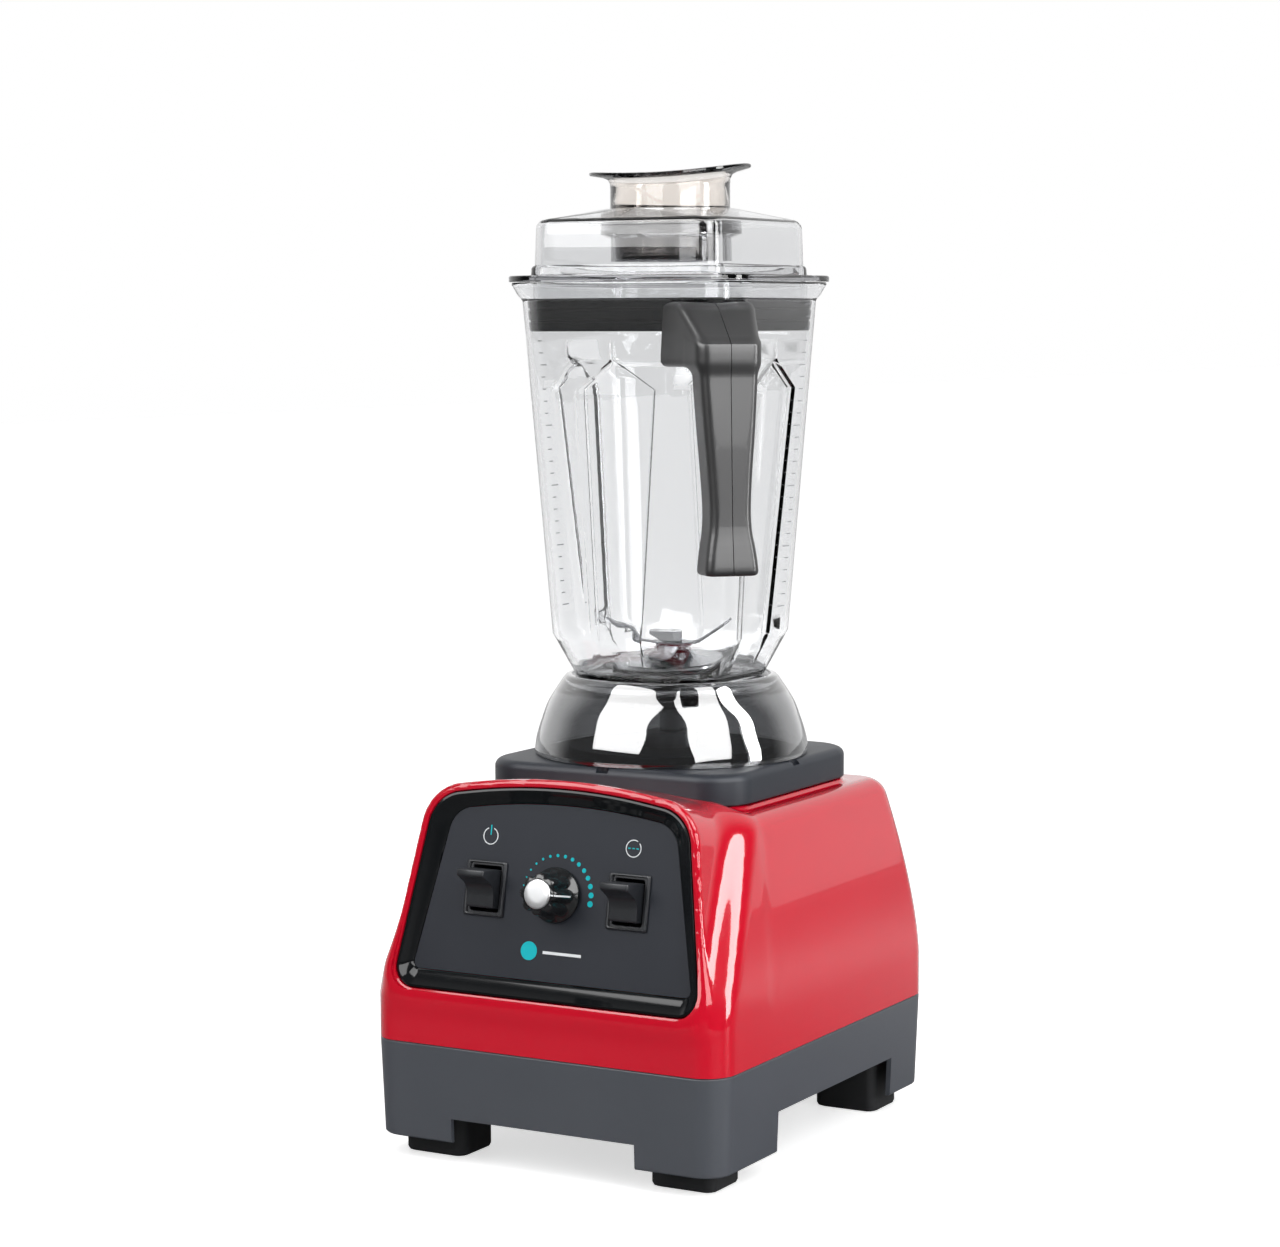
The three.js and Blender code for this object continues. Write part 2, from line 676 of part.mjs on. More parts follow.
for (const [name, side] of [['left', -1], ['right', 1]]) {
  const inner = side * (commutatorRadius + 1);
  const outer = side * (commutatorRadius + 24);
  const foot = lowerBracket + bracketThickness + gap;
  const holder = block(Math.min(inner, outer), Math.max(inner, outer), -5, 5, foot, commutatorTop - 2);
  addPiece(axis, `brush_holder_${name}`, holder, 'copper');
}

// The turning parts of the motor.
const shaftTop = padTop - 4;
addPiece(axis, 'motor_shaft', rod(shaftRadius, fanBottom - 2, shaftTop), 'steel');
addPiece(axis, 'armature', tube(shaftRadius + gap, armatureRadius, armatureBottom, armatureTop), 'copper');
const segments = tube(shaftRadius + gap, commutatorRadius, commutatorBottom, commutatorTop);
addPiece(axis, 'commutator', segments, 'copper');

let fan = toSolid(rod(13, fanBottom, fanTop))
  .add(toSolid(rod(fanRadius, fanTop - 1.5, fanTop, 0, 0, 24)));
for (let k = 0; k < fanBlades; k += 1) {
  const vane = block(10, fanRadius - 1, -0.8, 0.8, fanBottom, fanTop - 1);
  fan = fan.add(toSolid(vane.rotateZ(k * 2 * Math.PI / fanBlades)));
}
fan = fan.subtract(toSolid(rod(shaftRadius + gap, fanBottom - 1, fanTop + 1)));
addPiece(axis, 'cooling_fan', fan, 'black');
const shroud = tube(fanRadius + 2, fanRadius + 4, floorTop + gap, fanTop + 2, 24);
addPiece(axis, 'fan_shroud', shroud, 'black');

const socketTop = padTop + 12;
const hexPocket = rod(socketHexRadius, shaftTop + 2, socketTop + 1, 0, 0, 6);
const socket = toSolid(rod(socketRadius, socketTop - socketHeight, socketTop, 0, 0, 24))
  .subtract(toSolid(hexPocket))
  .subtract(toSolid(rod(shaftRadius + gap, 0, shaftTop + gap)));
addPiece(axis, 'drive_socket', socket, 'steel');

// Speed control board on the floor behind the panel, and the gland where the lead enters.
const boardX = 34;
const boardBack = jarAxisY - fanRadius - 16;
const boardFront = boardBack - 46;
const boardZ = floorTop + 6;
let board = toSolid(block(-boardX, boardX, boardFront, boardBack, boardZ, boardZ + 1.6))
  .add(toSolid(block(-24, -6, boardFront + 8, boardFront + 22, boardZ + 1, boardZ + 17)))
  .add(toSolid(block(6, 12, boardFront + 10, boardFront + 34, boardZ + 1, boardZ + 22)));
for (const [x, y] of [[-1, 0], [1, 0], [-1, 1], [1, 1]]) {
  const post = rod(3, floorTop + gap, boardZ + 1, x * (boardX - 5),
    y ? boardBack - 5 : boardFront + 5, 10);
  board = board.add(toSolid(post));
}
addPiece(blender, 'control_board', board, 'board');

const glandY = halfDepth;
const gland = turned([[3.5, -14], [glandRadius, -14], [glandRadius, -0.2], [glandRadius + 3, -0.2],
  [glandRadius + 2, glandProud], [3.5, glandProud]], 20);
gland.rotateX(-Math.PI / 2).translate(0, glandY, glandHeight);
addPiece(blender, 'cord_gland', gland, 'rubber');

// ---------------------------------------------------------------- jar skirt and blade unit

const neckHole = housingNeckRadius + gap;
const skirtTop = skirtZ + skirtHeight;
const skirtSlope = [[0, 1], [0.2, 0.93], [0.655, 0.55], [0.91, 0.16], [1, 0]];
const skirtOut = skirtSlope.map(([rise, share]) => {
  return [skirtShoulder + (skirtRadius - skirtShoulder) * share, skirtZ + skirtHeight * rise];
});
const skirtIn = skirtSlope.slice(0, 3).map(([rise, share]) => {
  return [skirtShoulder + (skirtRadius - skirtShoulder) * share - skirtWall,
    skirtZ + skirtHeight * rise];
});
const seatTop = jarBottom - gap;
const seatRadius = skirtShoulder - skirtWall;
addPiece(axis, 'jar_skirt', turned([
  ...skirtOut,
  [seatRadius, skirtTop],
  [seatRadius, seatTop],
  [neckHole, seatTop],
  [neckHole, seatTop - skirtWall],
  [seatRadius + 1, seatTop - skirtWall],
  ...skirtIn.reverse(),
], 32), 'clear');

const nutTop = seatTop - skirtWall - gap;
const nutBottom = nutTop - nutHeight;
let nut = toSolid(tube(neckHole, nutRadius, nutBottom, nutTop, 24));
for (let k = 0; k < 8; k += 1) {
  const angle = k * Math.PI / 4;
  const notch = rod(3, nutBottom - 1, nutTop + 1, nutRadius * Math.cos(angle),
    nutRadius * Math.sin(angle), 8);
  nut = nut.subtract(toSolid(notch));
}
addPiece(axis, 'retainer_nut', nut, 'black');

const sealTop = jarInside + gap + 1.5;
const seal = tube(neckHole, housingFlangeRadius - 0.5, jarInside + gap, sealTop);
addPiece(axis, 'jar_floor_seal', seal, 'rubber');

const flangeBottom = sealTop + gap;
const flangeTop = flangeBottom + 2.6;
const neckBottom = nutBottom - 3;
const crownTop = flangeTop + 5;
const upperSeat = crownTop - 2;
const unitBore = bladeShaftRadius + 1.5;
addPiece(axis, 'blade_bearing_housing', turned([
  [bladeBearingRadius + gap, neckBottom],
  [housingNeckRadius, neckBottom],
  [housingNeckRadius, flangeBottom],
  [housingFlangeRadius, flangeBottom],
  [housingFlangeRadius - 1, flangeTop],
  [18, flangeTop + 1],
  [12, crownTop],
  [unitBore, crownTop],
  [unitBore, upperSeat],
  [bladeBearingRadius + gap, upperSeat],
]), 'steel');
const bearingPlaces = [
  ['upper_blade_bearing', upperSeat - gap - bladeBearingWidth],
  ['lower_blade_bearing', neckBottom + 2],
];
for (const [name, low] of bearingPlaces) {
  const ring = tube(bladeShaftRadius + gap, bladeBearingRadius, low, low + bladeBearingWidth);
  addPiece(axis, name, ring, 'steel');
}

// ---------------------------------------------------------------- blades

const bladeHub = crownTop + 2;
const bladeThickness = 2;
const couplingTop = neckBottom - 1;
const couplingBottom = couplingTop - couplingLength;
const bladeNutTop = bladeHub + 2 * bladeThickness + gap + 7;
const bladeShaft = rod(bladeShaftRadius, couplingBottom + 6, bladeNutTop - 2);
addPiece(axis, 'blade_shaft', bladeShaft, 'steel');

function bladePair(low, turn, lift) {
  const outline = [[9, -7], [bladeReach - 6, -6], [bladeReach, 1], [bladeReach - 3, 6], [9, 7]]
    .map(([x, y]) => new THREE.Vector2(x, y));
  let pair = toSolid(rod(12, low, low + bladeThickness));
  for (const side of [0, Math.PI]) {
    const wing = prism(outline, 0, bladeThickness)
      .translate(-9, 0, 0).rotateY(-lift).translate(9, 0, low).rotateZ(turn + side);
    pair = pair.add(toSolid(wing));
  }
  return pair.subtract(toSolid(rod(bladeShaftRadius + gap, low - 20, low + 20)));
}

const lowerBladeLift = -5 * Math.PI / 180;
const upperBladeLift = 34 * Math.PI / 180;
addPiece(axis, 'lower_blade', bladePair(bladeHub, 0.35 + Math.PI / 2, lowerBladeLift), 'steel');
const upperBlade = bladePair(bladeHub + bladeThickness + gap, 0.35, upperBladeLift);
addPiece(axis, 'upper_blade', upperBlade, 'steel');
const hubNut = toSolid(rod(7, bladeHub + 2 * bladeThickness + 2 * gap, bladeNutTop, 0, 0, 6))
  .subtract(toSolid(rod(bladeShaftRadius + gap, 0, bladeNutTop - 1.5)));
addPiece(axis, 'blade_nut', hubNut, 'steel');
const coupling = toSolid(rod(socketHexRadius - runningGap, couplingBottom, couplingTop, 0, 0, 6))
  .subtract(toSolid(rod(bladeShaftRadius + gap, couplingBottom + 6 - gap, couplingTop + 1)));
addPiece(axis, 'blade_coupling', coupling, 'steel');

// ---------------------------------------------------------------- jar

const jarWidest = jarRim - flareHeight;     // where the flare starts
const jarFoot = jarBottom + jarChamfer;

// Half width and corner radius of the straight-sided part at a height.
function jarSection(z) {
  const share = (z - jarFoot) / (jarWidest - jarFoot);
  return [
    jarBottomHalf + (jarTopHalf - jarBottomHalf) * share,
    jarBottomCorner + (jarTopCorner - jarBottomCorner) * share,
  ];
}

// Edges of the flute in one wall, as offsets from the middle of the wall.
function recessEdges(z) {
  const shoulder = jarRim - recessShoulder;
  const apex = jarRim - recessApex;
  if (z >= shoulder) {
    const share = Math.max((apex - z) / (apex - shoulder), 0.04);
    return [-recessHalf * share, recessHalf * share];
  }
  const share = (shoulder - z) / (shoulder - jarBottom);
  return [
    -recessHalf + (recessFootLeft + recessHalf) * share,
    recessHalf + (recessFootRight - recessHalf) * share,
  ];
}

function jarRing(half, corner, z, depth) {
  const [left, right] = recessEdges(z);
  const slope = Math.min(recessFlank, (right - left) / 3);
  const across = [
    [left, 0], [left + slope, depth], [(left + right) / 2, depth], [right - slope, depth], [right, 0],
  ];
  const ring = [];
  for (let wall = 0; wall < 4; wall += 1) {
    const turn = wall * Math.PI / 2;
    const place = (x, y) => ring.push(new THREE.Vector3(
      x * Math.cos(turn) - y * Math.sin(turn), x * Math.sin(turn) + y * Math.cos(turn), z));
    for (const [x, inward] of across) {
      place(x, -half + inward);
    }
    for (let k = 0; k <= 5; k += 1) {
      const angle = -Math.PI / 2 + k * Math.PI / 10;
      place(half - corner + corner * Math.cos(angle), -half + corner + corner * Math.sin(angle));
    }
  }
  return ring;
}

const jarHeights = [
  [jarFoot, 1],
  [jarRim - recessShoulder, 1],
  [jarRim - recessApex - 4, 1],
  [jarRim - recessApex, 0],
  [jarWidest, 0],
];

function jarRings(inset) {
  const floor = inset > 0 ? jarInside : jarBottom;
  return [
    jarRing(jarFootHalf - 1.5 - inset, jarFootCorner - 0.5 - inset, floor, 0),
    jarRing(jarFootHalf - inset, jarFootCorner - inset, floor + 2, 0),
    ...jarHeights.map(([z, share]) => {
      const [half, corner] = jarSection(z);
      return jarRing(half - inset, corner - inset, z, recessDepth * share);
    }),
    jarRing(flareHalf - 1.8 - inset, jarTopCorner + 2 - inset, jarRim - flareHeight * 0.35, 0),
    jarRing(flareHalf - inset, jarTopCorner + 3 - inset, jarRim, 0),
  ];
}

const handle = makeGroup(axis, 0, 0, 0);
handle.rotation.z = handleAngle;
handle.updateMatrix();

// A lug on the jar's corner reaches between the handle's shells and takes the upper screw.
const lugTop = jarRim - handleTop - 12;
const lugBottom = jarRim - handleBlock + 6;
const jarCornerReach = (jarTopHalf - jarTopCorner) * Math.SQRT2 + jarTopCorner;
const lugEnd = jarCornerReach + 7;
const upperScrewAt = [jarCornerReach + 2.5, (lugTop + lugBottom) / 2];
const lowerScrewAt = [jarCornerReach + gripOut + gripFlare - 12, jarRim - handleBottom + 20];

function crossRod(radius, [x, z], from, to, sides = 12) {
  const geometry = rod(radius, from, to, 0, 0, sides).rotateX(-Math.PI / 2);
  return geometry.translate(x, 0, z);
}

function lugBlock(margin) {
  return block(jarCornerReach - 16, lugEnd + margin, -lugHalf - margin, lugHalf + margin,
    lugBottom - margin, lugTop + margin);
}

const upperScrewHole = crossRod(handleScrewRadius + gap, upperScrewAt, -40, 40);
const jarHollow = loft([...jarRings(jarWall), jarRing(flareHalf, jarTopCorner, jarRim + 2, 0)]);
const jar = toSolid(loft(jarRings(0)))
  .add(toSolid(lugBlock(0).applyMatrix4(handle.matrix)))
  .subtract(toSolid(jarHollow))
  .subtract(toSolid(upperScrewHole.clone().applyMatrix4(handle.matrix)))
  .subtract(toSolid(rod(neckHole, jarBottom - 1, jarInside + 1, 0, 0, 24)));
addPiece(axis, 'jar', jar, 'clear');

// ---------------------------------------------------------------- handle

// Half of the handle's plan section, on the +Y side of its parting plane.
function handleRing(inner, outer, innerHalf, outerHalf, z, edge = 4) {
  return atHeight(roundedOutline([
    [inner, gap / 2, 0],
    [outer, gap / 2, 0],
    [outer, outerHalf, edge],
    [inner, innerHalf, Math.min(edge, 3)],
  ], 3), z);
}

const gripTop = jarCornerReach + gripOut - 3;
const blockIn = jarCornerReach - 16;
const handleLevels = [
  // height below the rim, outer face, half width behind, half width in front
  [handleBottom, gripFlare, 13, 12.5],
  [handleBottom - 2.5, gripFlare + 1.4, 14.8, 14.4],
  [handleBottom - 9, gripFlare + 1, 15, 14.8],
  [handleBottom - 31, gripFlare - 1.5, 12, 11.3],
  [handleBottom - 51, gripFlare - 2.2, 13, 12.2],
  [handleBottom - 84, 1.8, 15.6, 14.8],
  [handleBlock + 0.05, 0.6, 17.5, 16.6],
];
const gripRings = handleLevels.map(([drop, out, back, front]) => {
  return handleRing(gripTop + out - gripBack, gripTop + out, back, front, jarRim - drop);
});
const shoulderRings = [
  handleRing(blockIn, gripTop + 0.6, handleBlockHalf, 16.7, jarRim - handleBlock),
  handleRing(blockIn, gripTop, handleBlockHalf, 17.5, jarRim - handleShoulder),
  handleRing(blockIn, jarCornerReach + 6, handleBlockHalf, 19, jarRim - handleTop - 2),
  handleRing(blockIn, jarCornerReach + 2, handleBlockHalf - 2, 17, jarRim - handleTop),
];
const hollowRings = [handleLevels[3], handleLevels[4], handleLevels[5], handleLevels[6]]
  .map(([drop, out, back, front]) => atHeight([
    new THREE.Vector2(gripTop + out - gripBack + handleWall, -1),
    new THREE.Vector2(gripTop + out - handleWall, -1),
    new THREE.Vector2(gripTop + out - handleWall, front - handleWall),
    new THREE.Vector2(gripTop + out - gripBack + handleWall, back - handleWall),
  ], jarRim - drop));

const jarClearance = loft(jarRings(-gap)).applyMatrix4(handle.matrix.clone().invert());
const headSeat = handleBlockHalf - 10;
const fullHalf = toSolid(loft([...gripRings, ...shoulderRings]))
  .subtract(toSolid(loft(hollowRings)))
  .subtract(toSolid(lugBlock(gap)))
  .subtract(toSolid(jarClearance));

function handleShell(side) {
  let shell = side > 0 ? fullHalf : fullHalf.mirror([0, 1, 0]);
  for (const [place, seat] of [[upperScrewAt, headSeat], [lowerScrewAt, 6]]) {
    shell = shell.subtract(toSolid(crossRod(handleScrewRadius + gap, place, -10, seat + 1)));
    if (side > 0) {
      shell = shell.subtract(toSolid(crossRod(handleScrewHead + gap, place, seat, 40, 16)));
    }
  }
  return shell;
}

addPiece(handle, 'handle_right_shell', handleShell(1), 'black');
addPiece(handle, 'handle_left_shell', handleShell(-1), 'black');
for (const [name, place, seat] of [['upper', upperScrewAt, headSeat], ['lower', lowerScrewAt, 6]]) {
  const screw = toSolid(crossRod(handleScrewRadius, place, -9.5, seat + 1))
    .add(toSolid(crossRod(handleScrewHead, place, seat + gap, seat + 2.5, 16)));
  addPiece(handle, `handle_screw_${name}`, screw, 'steel');
}

// ---------------------------------------------------------------- lid

const domeTop = lidCrown;
const insertHalf = jarTopHalf - jarWall - gasketWall - 1.5 * gap - 1.1;
const insertCorner = jarTopCorner - jarWall - 2;
const insertBottom = lidBase - lidInsert;
const flangeTopZ = lidBase + lidFlangeHeight;
const stepHeight = 6;
const collarBottom = lidCrown - collarDepth;
const funnelBottom = lidCrown - funnelDepth;
const edgeDrop = 8;

// The rings run up the collar, over the dome, down round the insert and back up inside. The
// order is turned round for the loft, whose outer walls climb.
const lidRings = [
  squareRing(collarRadius, collarRadius, collarBottom),
  squareRing(collarRadius, collarRadius, funnelBottom - 1),
  squareRing(funnelRadius, funnelRadius, funnelBottom + 1),
  squareRing(funnelRadius, funnelRadius, domeTop, domeSphere),
  squareRing(domeHalf - 5, domeCorner - 4, domeTop, domeSphere),
  squareRing(domeHalf - 1.5, domeCorner - 1, domeTop - 1.2, domeSphere),
  squareRing(domeHalf, domeCorner, domeTop - edgeDrop + 2, domeSphere),
  squareRing(domeHalf + 0.6, domeCorner, flangeTopZ + stepHeight),
  squareRing(domeHalf + 1.8, domeCorner, flangeTopZ + stepHeight - 1.5),
  squareRing(domeHalf + 2.2, domeCorner, flangeTopZ),
  squareRing(lidFlangeHalf, lidFlangeCorner, flangeTopZ),
  squareRing(lidFlangeHalf, lidFlangeCorner, lidBase),
  squareRing(insertHalf, insertCorner, lidBase),
  squareRing(insertHalf, insertCorner, insertBottom),
  squareRing(insertHalf - lidWall, insertCorner - lidWall, insertBottom),
  squareRing(insertHalf - lidWall, insertCorner - lidWall, lidBase + 1),
  squareRing(domeHalf - lidWall, domeCorner - lidWall, lidBase + 1),
  squareRing(domeHalf - lidWall, domeCorner - lidWall, domeTop - edgeDrop, domeSphere),
  squareRing(domeHalf - 4, domeCorner - 4, domeTop - lidWall - 1, domeSphere),
  squareRing(domeHalf - 7, domeCorner - 6, domeTop - lidWall, domeSphere),
  squareRing(funnelRadius + lidWall, funnelRadius + lidWall, domeTop - lidWall, domeSphere),
  squareRing(funnelRadius + lidWall, funnelRadius + lidWall, funnelBottom - 1),
  squareRing(collarRadius + lidWall, collarRadius + lidWall, funnelBottom - 3.5),
  squareRing(collarRadius + lidWall, collarRadius + lidWall, collarBottom),
];
addPiece(axis, 'lid_cover', loft(lidRings.reverse(), true), 'clear');

// The gasket grips the insert and follows the slope of the jar's inner wall.
const gasketTop = insertBottom + gasketHeight;
function gasketOut(z) {
  const [half, corner] = jarSection(z);
  return squareRing(half - jarWall - gap, corner - jarWall - gap, z);
}
const gasket = loft([
  gasketOut(insertBottom),
  gasketOut(gasketTop),
  squareRing(insertHalf + gap, insertCorner + gap, gasketTop),
  squareRing(insertHalf + gap, insertCorner + gap, insertBottom),
], true);
addPiece(axis, 'lid_gasket', gasket, 'rubber');

// ---------------------------------------------------------------- plug

function waveRing(radius, z, share) {
  const ring = circleRing(radius, z, 32);
  for (const point of ring) {
    const angle = Math.atan2(point.y, point.x) - plugWaveAngle;
    point.z += share * (plugWave * Math.cos(2 * angle) + plugLean * Math.cos(angle));
  }
  return ring;
}

const plugFoot = collarRadius - plugClearance;
const plugBottom = collarBottom + 1;
const plugShoulder = funnelBottom + 1 + gap;
const plugTop = lidCrown + plugRise;
addPiece(axis, 'lid_plug', loft([
  waveRing(plugFoot, plugBottom, 0),
  waveRing(plugFoot, plugShoulder - 1, 0),
  waveRing(plugRadius, plugShoulder + 1, 0),
  waveRing(plugRadius, plugTop - 3, 0.6),
  waveRing(plugRadius + 4, plugTop + 0.2, 0.75),
  waveRing(plugFlangeRadius, plugTop + 1.6, 1),
  waveRing(plugFlangeRadius, plugTop + 3.4, 1),
  waveRing(plugRadius + 3, plugTop + 2.4, 0.75),
  waveRing(plugRadius - plugWall, plugTop - 2, 0.6),
  waveRing(plugRadius - plugWall, plugShoulder + 3.5, 0),
  waveRing(plugFoot - plugWall, plugShoulder + 1.5, 0),
  waveRing(plugFoot - plugWall, plugBottom + plugWall, 0),
]), 'amber');

export default blender;
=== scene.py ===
# Countertop blender: a red and grey motor base with a control panel, a square clear jar with its
# handle and blades, and a clear lid with a lift-out plug. Sizes are in millimetres, and every
# mesh is scaled to metres as it is made.
import math

import bpy
import numpy as np
from mathutils import Matrix, Vector


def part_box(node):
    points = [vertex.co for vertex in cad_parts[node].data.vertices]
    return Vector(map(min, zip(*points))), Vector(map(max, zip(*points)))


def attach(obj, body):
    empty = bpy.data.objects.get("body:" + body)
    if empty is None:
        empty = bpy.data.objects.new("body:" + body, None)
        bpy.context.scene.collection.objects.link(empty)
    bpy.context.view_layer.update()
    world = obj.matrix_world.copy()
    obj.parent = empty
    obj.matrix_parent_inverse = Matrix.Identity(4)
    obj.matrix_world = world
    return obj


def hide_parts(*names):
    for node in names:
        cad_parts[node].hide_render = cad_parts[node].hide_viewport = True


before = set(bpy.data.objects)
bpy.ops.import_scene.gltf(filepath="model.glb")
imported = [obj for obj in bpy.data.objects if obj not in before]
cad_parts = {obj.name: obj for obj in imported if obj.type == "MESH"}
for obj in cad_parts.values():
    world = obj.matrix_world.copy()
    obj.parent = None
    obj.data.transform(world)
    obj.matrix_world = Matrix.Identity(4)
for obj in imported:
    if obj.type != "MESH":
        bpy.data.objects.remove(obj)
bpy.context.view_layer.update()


# ==== Feet ====
# Four moulded rubber blocks in the corners of the lower housing. Each one is held by the long
# screw that also ties the two housings together, in a counterbore from below.

MM = 0.001


def box_mm(node):
    """Lowest and highest corner of a CAD node, in millimetres."""
    low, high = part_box(node)
    return np.array(low) / MM, np.array(high) / MM


def rounded_ring(left, right, front, rear, radius, z, segments=8):
    """A rectangle with rounded corners, counter-clockwise from above."""
    ring = []
    for corner, (x, y) in enumerate([
        (right - radius, front + radius), (right - radius, rear - radius),
        (left + radius, rear - radius), (left + radius, front + radius),
    ]):
        for k in range(segments + 1):
            angle = (corner - 1 + k / segments) * math.pi / 2
            ring.append((x + radius * math.cos(angle), y + radius * math.sin(angle), z))
    return np.array(ring)


def loft(rings, closed=False):
    """Joins rings of equal point count. A climbing path makes an outer wall."""
    count = len(rings[0])
    faces = []
    for k in range(len(rings) if closed else len(rings) - 1):
        low, high = k * count, (k + 1) % len(rings) * count
        for i in range(count):
            j = (i + 1) % count
            faces.append((low + i, low + j, high + j, high + i))
    if not closed:
        last = (len(rings) - 1) * count
        faces.append(tuple(reversed(range(count))))
        faces.append(tuple(range(last, last + count)))
    return np.concatenate(rings), faces


def add_piece(name, shape, material, body, stands_for=(), crease=35):
    """Makes a named mesh from points in millimetres and faces, and says what it rides on."""
    points, faces = shape
    mesh = bpy.data.meshes.new(name)
    mesh.from_pydata((np.asarray(points) * MM).tolist(), [], faces)
    mesh.polygons.foreach_set("use_smooth", [True] * len(mesh.polygons))
    mesh.set_sharp_from_angle(angle=math.radians(crease))
    mesh.materials.append(material)
    piece = bpy.data.objects.new(name, mesh)
    bpy.context.scene.collection.objects.link(piece)
    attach(piece, body)
    if stands_for:
        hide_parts(*stands_for)
    return piece


def add_node(nodes, kind, values=(), **settings):
    """Adds a shader node, sets how it works, and fills in its sockets."""
    node = nodes.new(f"ShaderNode{kind}")
    for setting, value in settings.items():
        setattr(node, setting, value)
    for socket, value in dict(values).items():
        node.inputs[socket].default_value = value
    return node


def drifting(name, scale, detail, tones, polish):
    """A finish whose tone and polish drift slowly between two values across the piece."""
    material = bpy.data.materials.new(name)
    material.use_nodes = True
    nodes, links = material.node_tree.nodes, material.node_tree.links
    shader = nodes["Principled BSDF"]
    place = add_node(nodes, "TexCoord")
    slow = add_node(nodes, "TexNoise", {"Scale": scale, "Detail": detail})
    tone = add_node(nodes, "Mix", {"A": (*tones[0], 1), "B": (*tones[1], 1)}, data_type="RGBA")
    gloss = add_node(nodes, "MapRange", {"To Min": polish[0], "To Max": polish[1]})
    links.new(place.outputs["Object"], slow.inputs["Vector"])
    links.new(slow.outputs["Fac"], tone.inputs["Factor"])
    links.new(tone.outputs["Result"], shader.inputs["Base Color"])
    links.new(slow.outputs["Fac"], gloss.inputs["Value"])
    links.new(gloss.outputs["Result"], shader.inputs["Roughness"])
    return material, shader, place


def moulded(name, color, roughness, grain, depth, uneven=0.1, coat=0.0, metallic=0.0,
            specular=0.5):
    """A moulded finish: a fine grain of the given size and depth, and a slow drift of tone."""
    tones = [c * (1 - uneven) for c in color], [min(c * (1 + uneven), 1) for c in color]
    material, shader, place = drifting(name, 22, 4, tones,
                                       (roughness * 0.85, min(roughness * 1.2, 1)))
    shader.inputs["Metallic"].default_value = metallic
    shader.inputs["Specular IOR Level"].default_value = specular
    shader.inputs["Coat Weight"].default_value = coat
    shader.inputs["Coat Roughness"].default_value = 0.03
    nodes, links = material.node_tree.nodes, material.node_tree.links
    fine = add_node(nodes, "TexNoise", {"Scale": 1 / (grain * MM), "Detail": 3})
    bump = add_node(nodes, "Bump", {"Distance": depth * MM})
    links.new(place.outputs["Object"], fine.inputs["Vector"])
    links.new(fine.outputs["Fac"], bump.inputs["Height"])
    links.new(bump.outputs["Normal"], shader.inputs["Normal"])
    return material


def repaint(material, *nodes):
    """Gives a finish to CAD nodes that are shown as they are."""
    for node in nodes:
        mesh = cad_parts[node].data
        mesh.materials.clear()
        mesh.materials.append(material)


rubber = moulded("foot_rubber", (0.012, 0.013, 0.015), 0.62, 0.5, 0.03)
machined_steel = moulded("machined_steel", (0.55, 0.56, 0.57), 0.32, 0.2, 0.005, metallic=1.0)
FOOT_CORNER = 6.0
BORE, COUNTERBORE, COUNTERBORE_TOP = 2.9, 5.4, 21.2

for place in ("front_left", "front_right", "rear_left", "rear_right"):
    low, high = box_mm(f"foot_{place}")
    centre = (low + high) / 2
    rings = []
    for inset, z in ((2.2, 0), (0.7, 0.6), (0, 2.2), (0, high[2] - 1), (0.8, high[2])):
        rings.append(rounded_ring(low[0] + inset, high[0] - inset, low[1] + inset,
                                  high[1] - inset, FOOT_CORNER - inset / 2, z))
    # The counterbore for the screw opens at the bottom of the block.
    around = [math.atan2(y - centre[1], x - centre[0]) for x, y, _ in rings[0]]
    for radius, z in ((BORE, high[2]), (BORE, COUNTERBORE_TOP + 0.3),
                      (COUNTERBORE, COUNTERBORE_TOP), (COUNTERBORE, 0.4), (COUNTERBORE + 0.4, 0)):
        rings.append(np.array([
            (centre[0] + radius * math.cos(a), centre[1] + radius * math.sin(a), z)
            for a in around]))
    add_piece(f"rubber_foot_{place}", loft(rings, closed=True), rubber, "base",
              [f"foot_{place}"])
    repaint(machined_steel, f"base_screw_{place}")


# ==== Lower housing ====
# A slate-grey moulded tray with a satin grain. Its skirt is cut away between the legs on all
# four sides, so that air can reach the slots in its floor.

slate = moulded("slate_plastic", (0.062, 0.069, 0.083), 0.36, 0.35, 0.008, 0.05, specular=0.6)

SKIRT_BOTTOM, SKIRT_DRAFT, SKIRT_WALL, SKIRT_CORNER = 12.0, 2.4, 3.0, 18.0
SEAM = 67.5
FLOOR_BOTTOM, FLOOR_TOP = 35.7, 38.7
FRONT_ARCH_HALF, FRONT_ARCH_TOP = 59.0, 25.9
SIDE_ARCH_FRONT, SIDE_ARCH_REAR, SIDE_ARCH_TOP = -63.0, 85.0, 35.2
VENT_PITCH, VENT_HALF, VENT_REACH = 11, 2.5, 44
GLAND_SEAT, GLAND_RADIUS = (0, 135, 52), 7.0
SCREW_SPOTS = [(x, y) for x in (-80, 80) for y in (-102, 102)]
SCREW_HOLE = 2.8
BEYOND = 200
jar_y = 17.5
base_low, base_high = box_mm("lower_housing")


def skirt_ring(inset, z):
    """One level of the drafted grey skirt, drawn in by an inset."""
    draft = SKIRT_DRAFT * (SEAM - z) / (SEAM - SKIRT_BOTTOM)
    return rounded_ring(base_low[0] + draft + inset, base_high[0] - draft - inset,
                        base_low[1] + draft + inset, base_high[1] - draft - inset,
                        max(SKIRT_CORNER - draft - inset, 2), z, 12)


def block(x0, x1, y0, y1, z0, z1):
    """A box between two corners."""
    corners = [(x0, y0), (x1, y0), (x1, y1), (x0, y1)]
    return loft([np.array([(x, y, z) for x, y in corners]) for z in (z0, z1)])


def rod(radius, low, high, x=0.0, y=0.0, sides=32):
    """An upright cylinder."""
    turns = [k * 2 * math.pi / sides for k in range(sides)]
    return loft([np.array([(x + radius * math.cos(a), y + radius * math.sin(a), z) for a in turns])
                 for z in (low, high)])


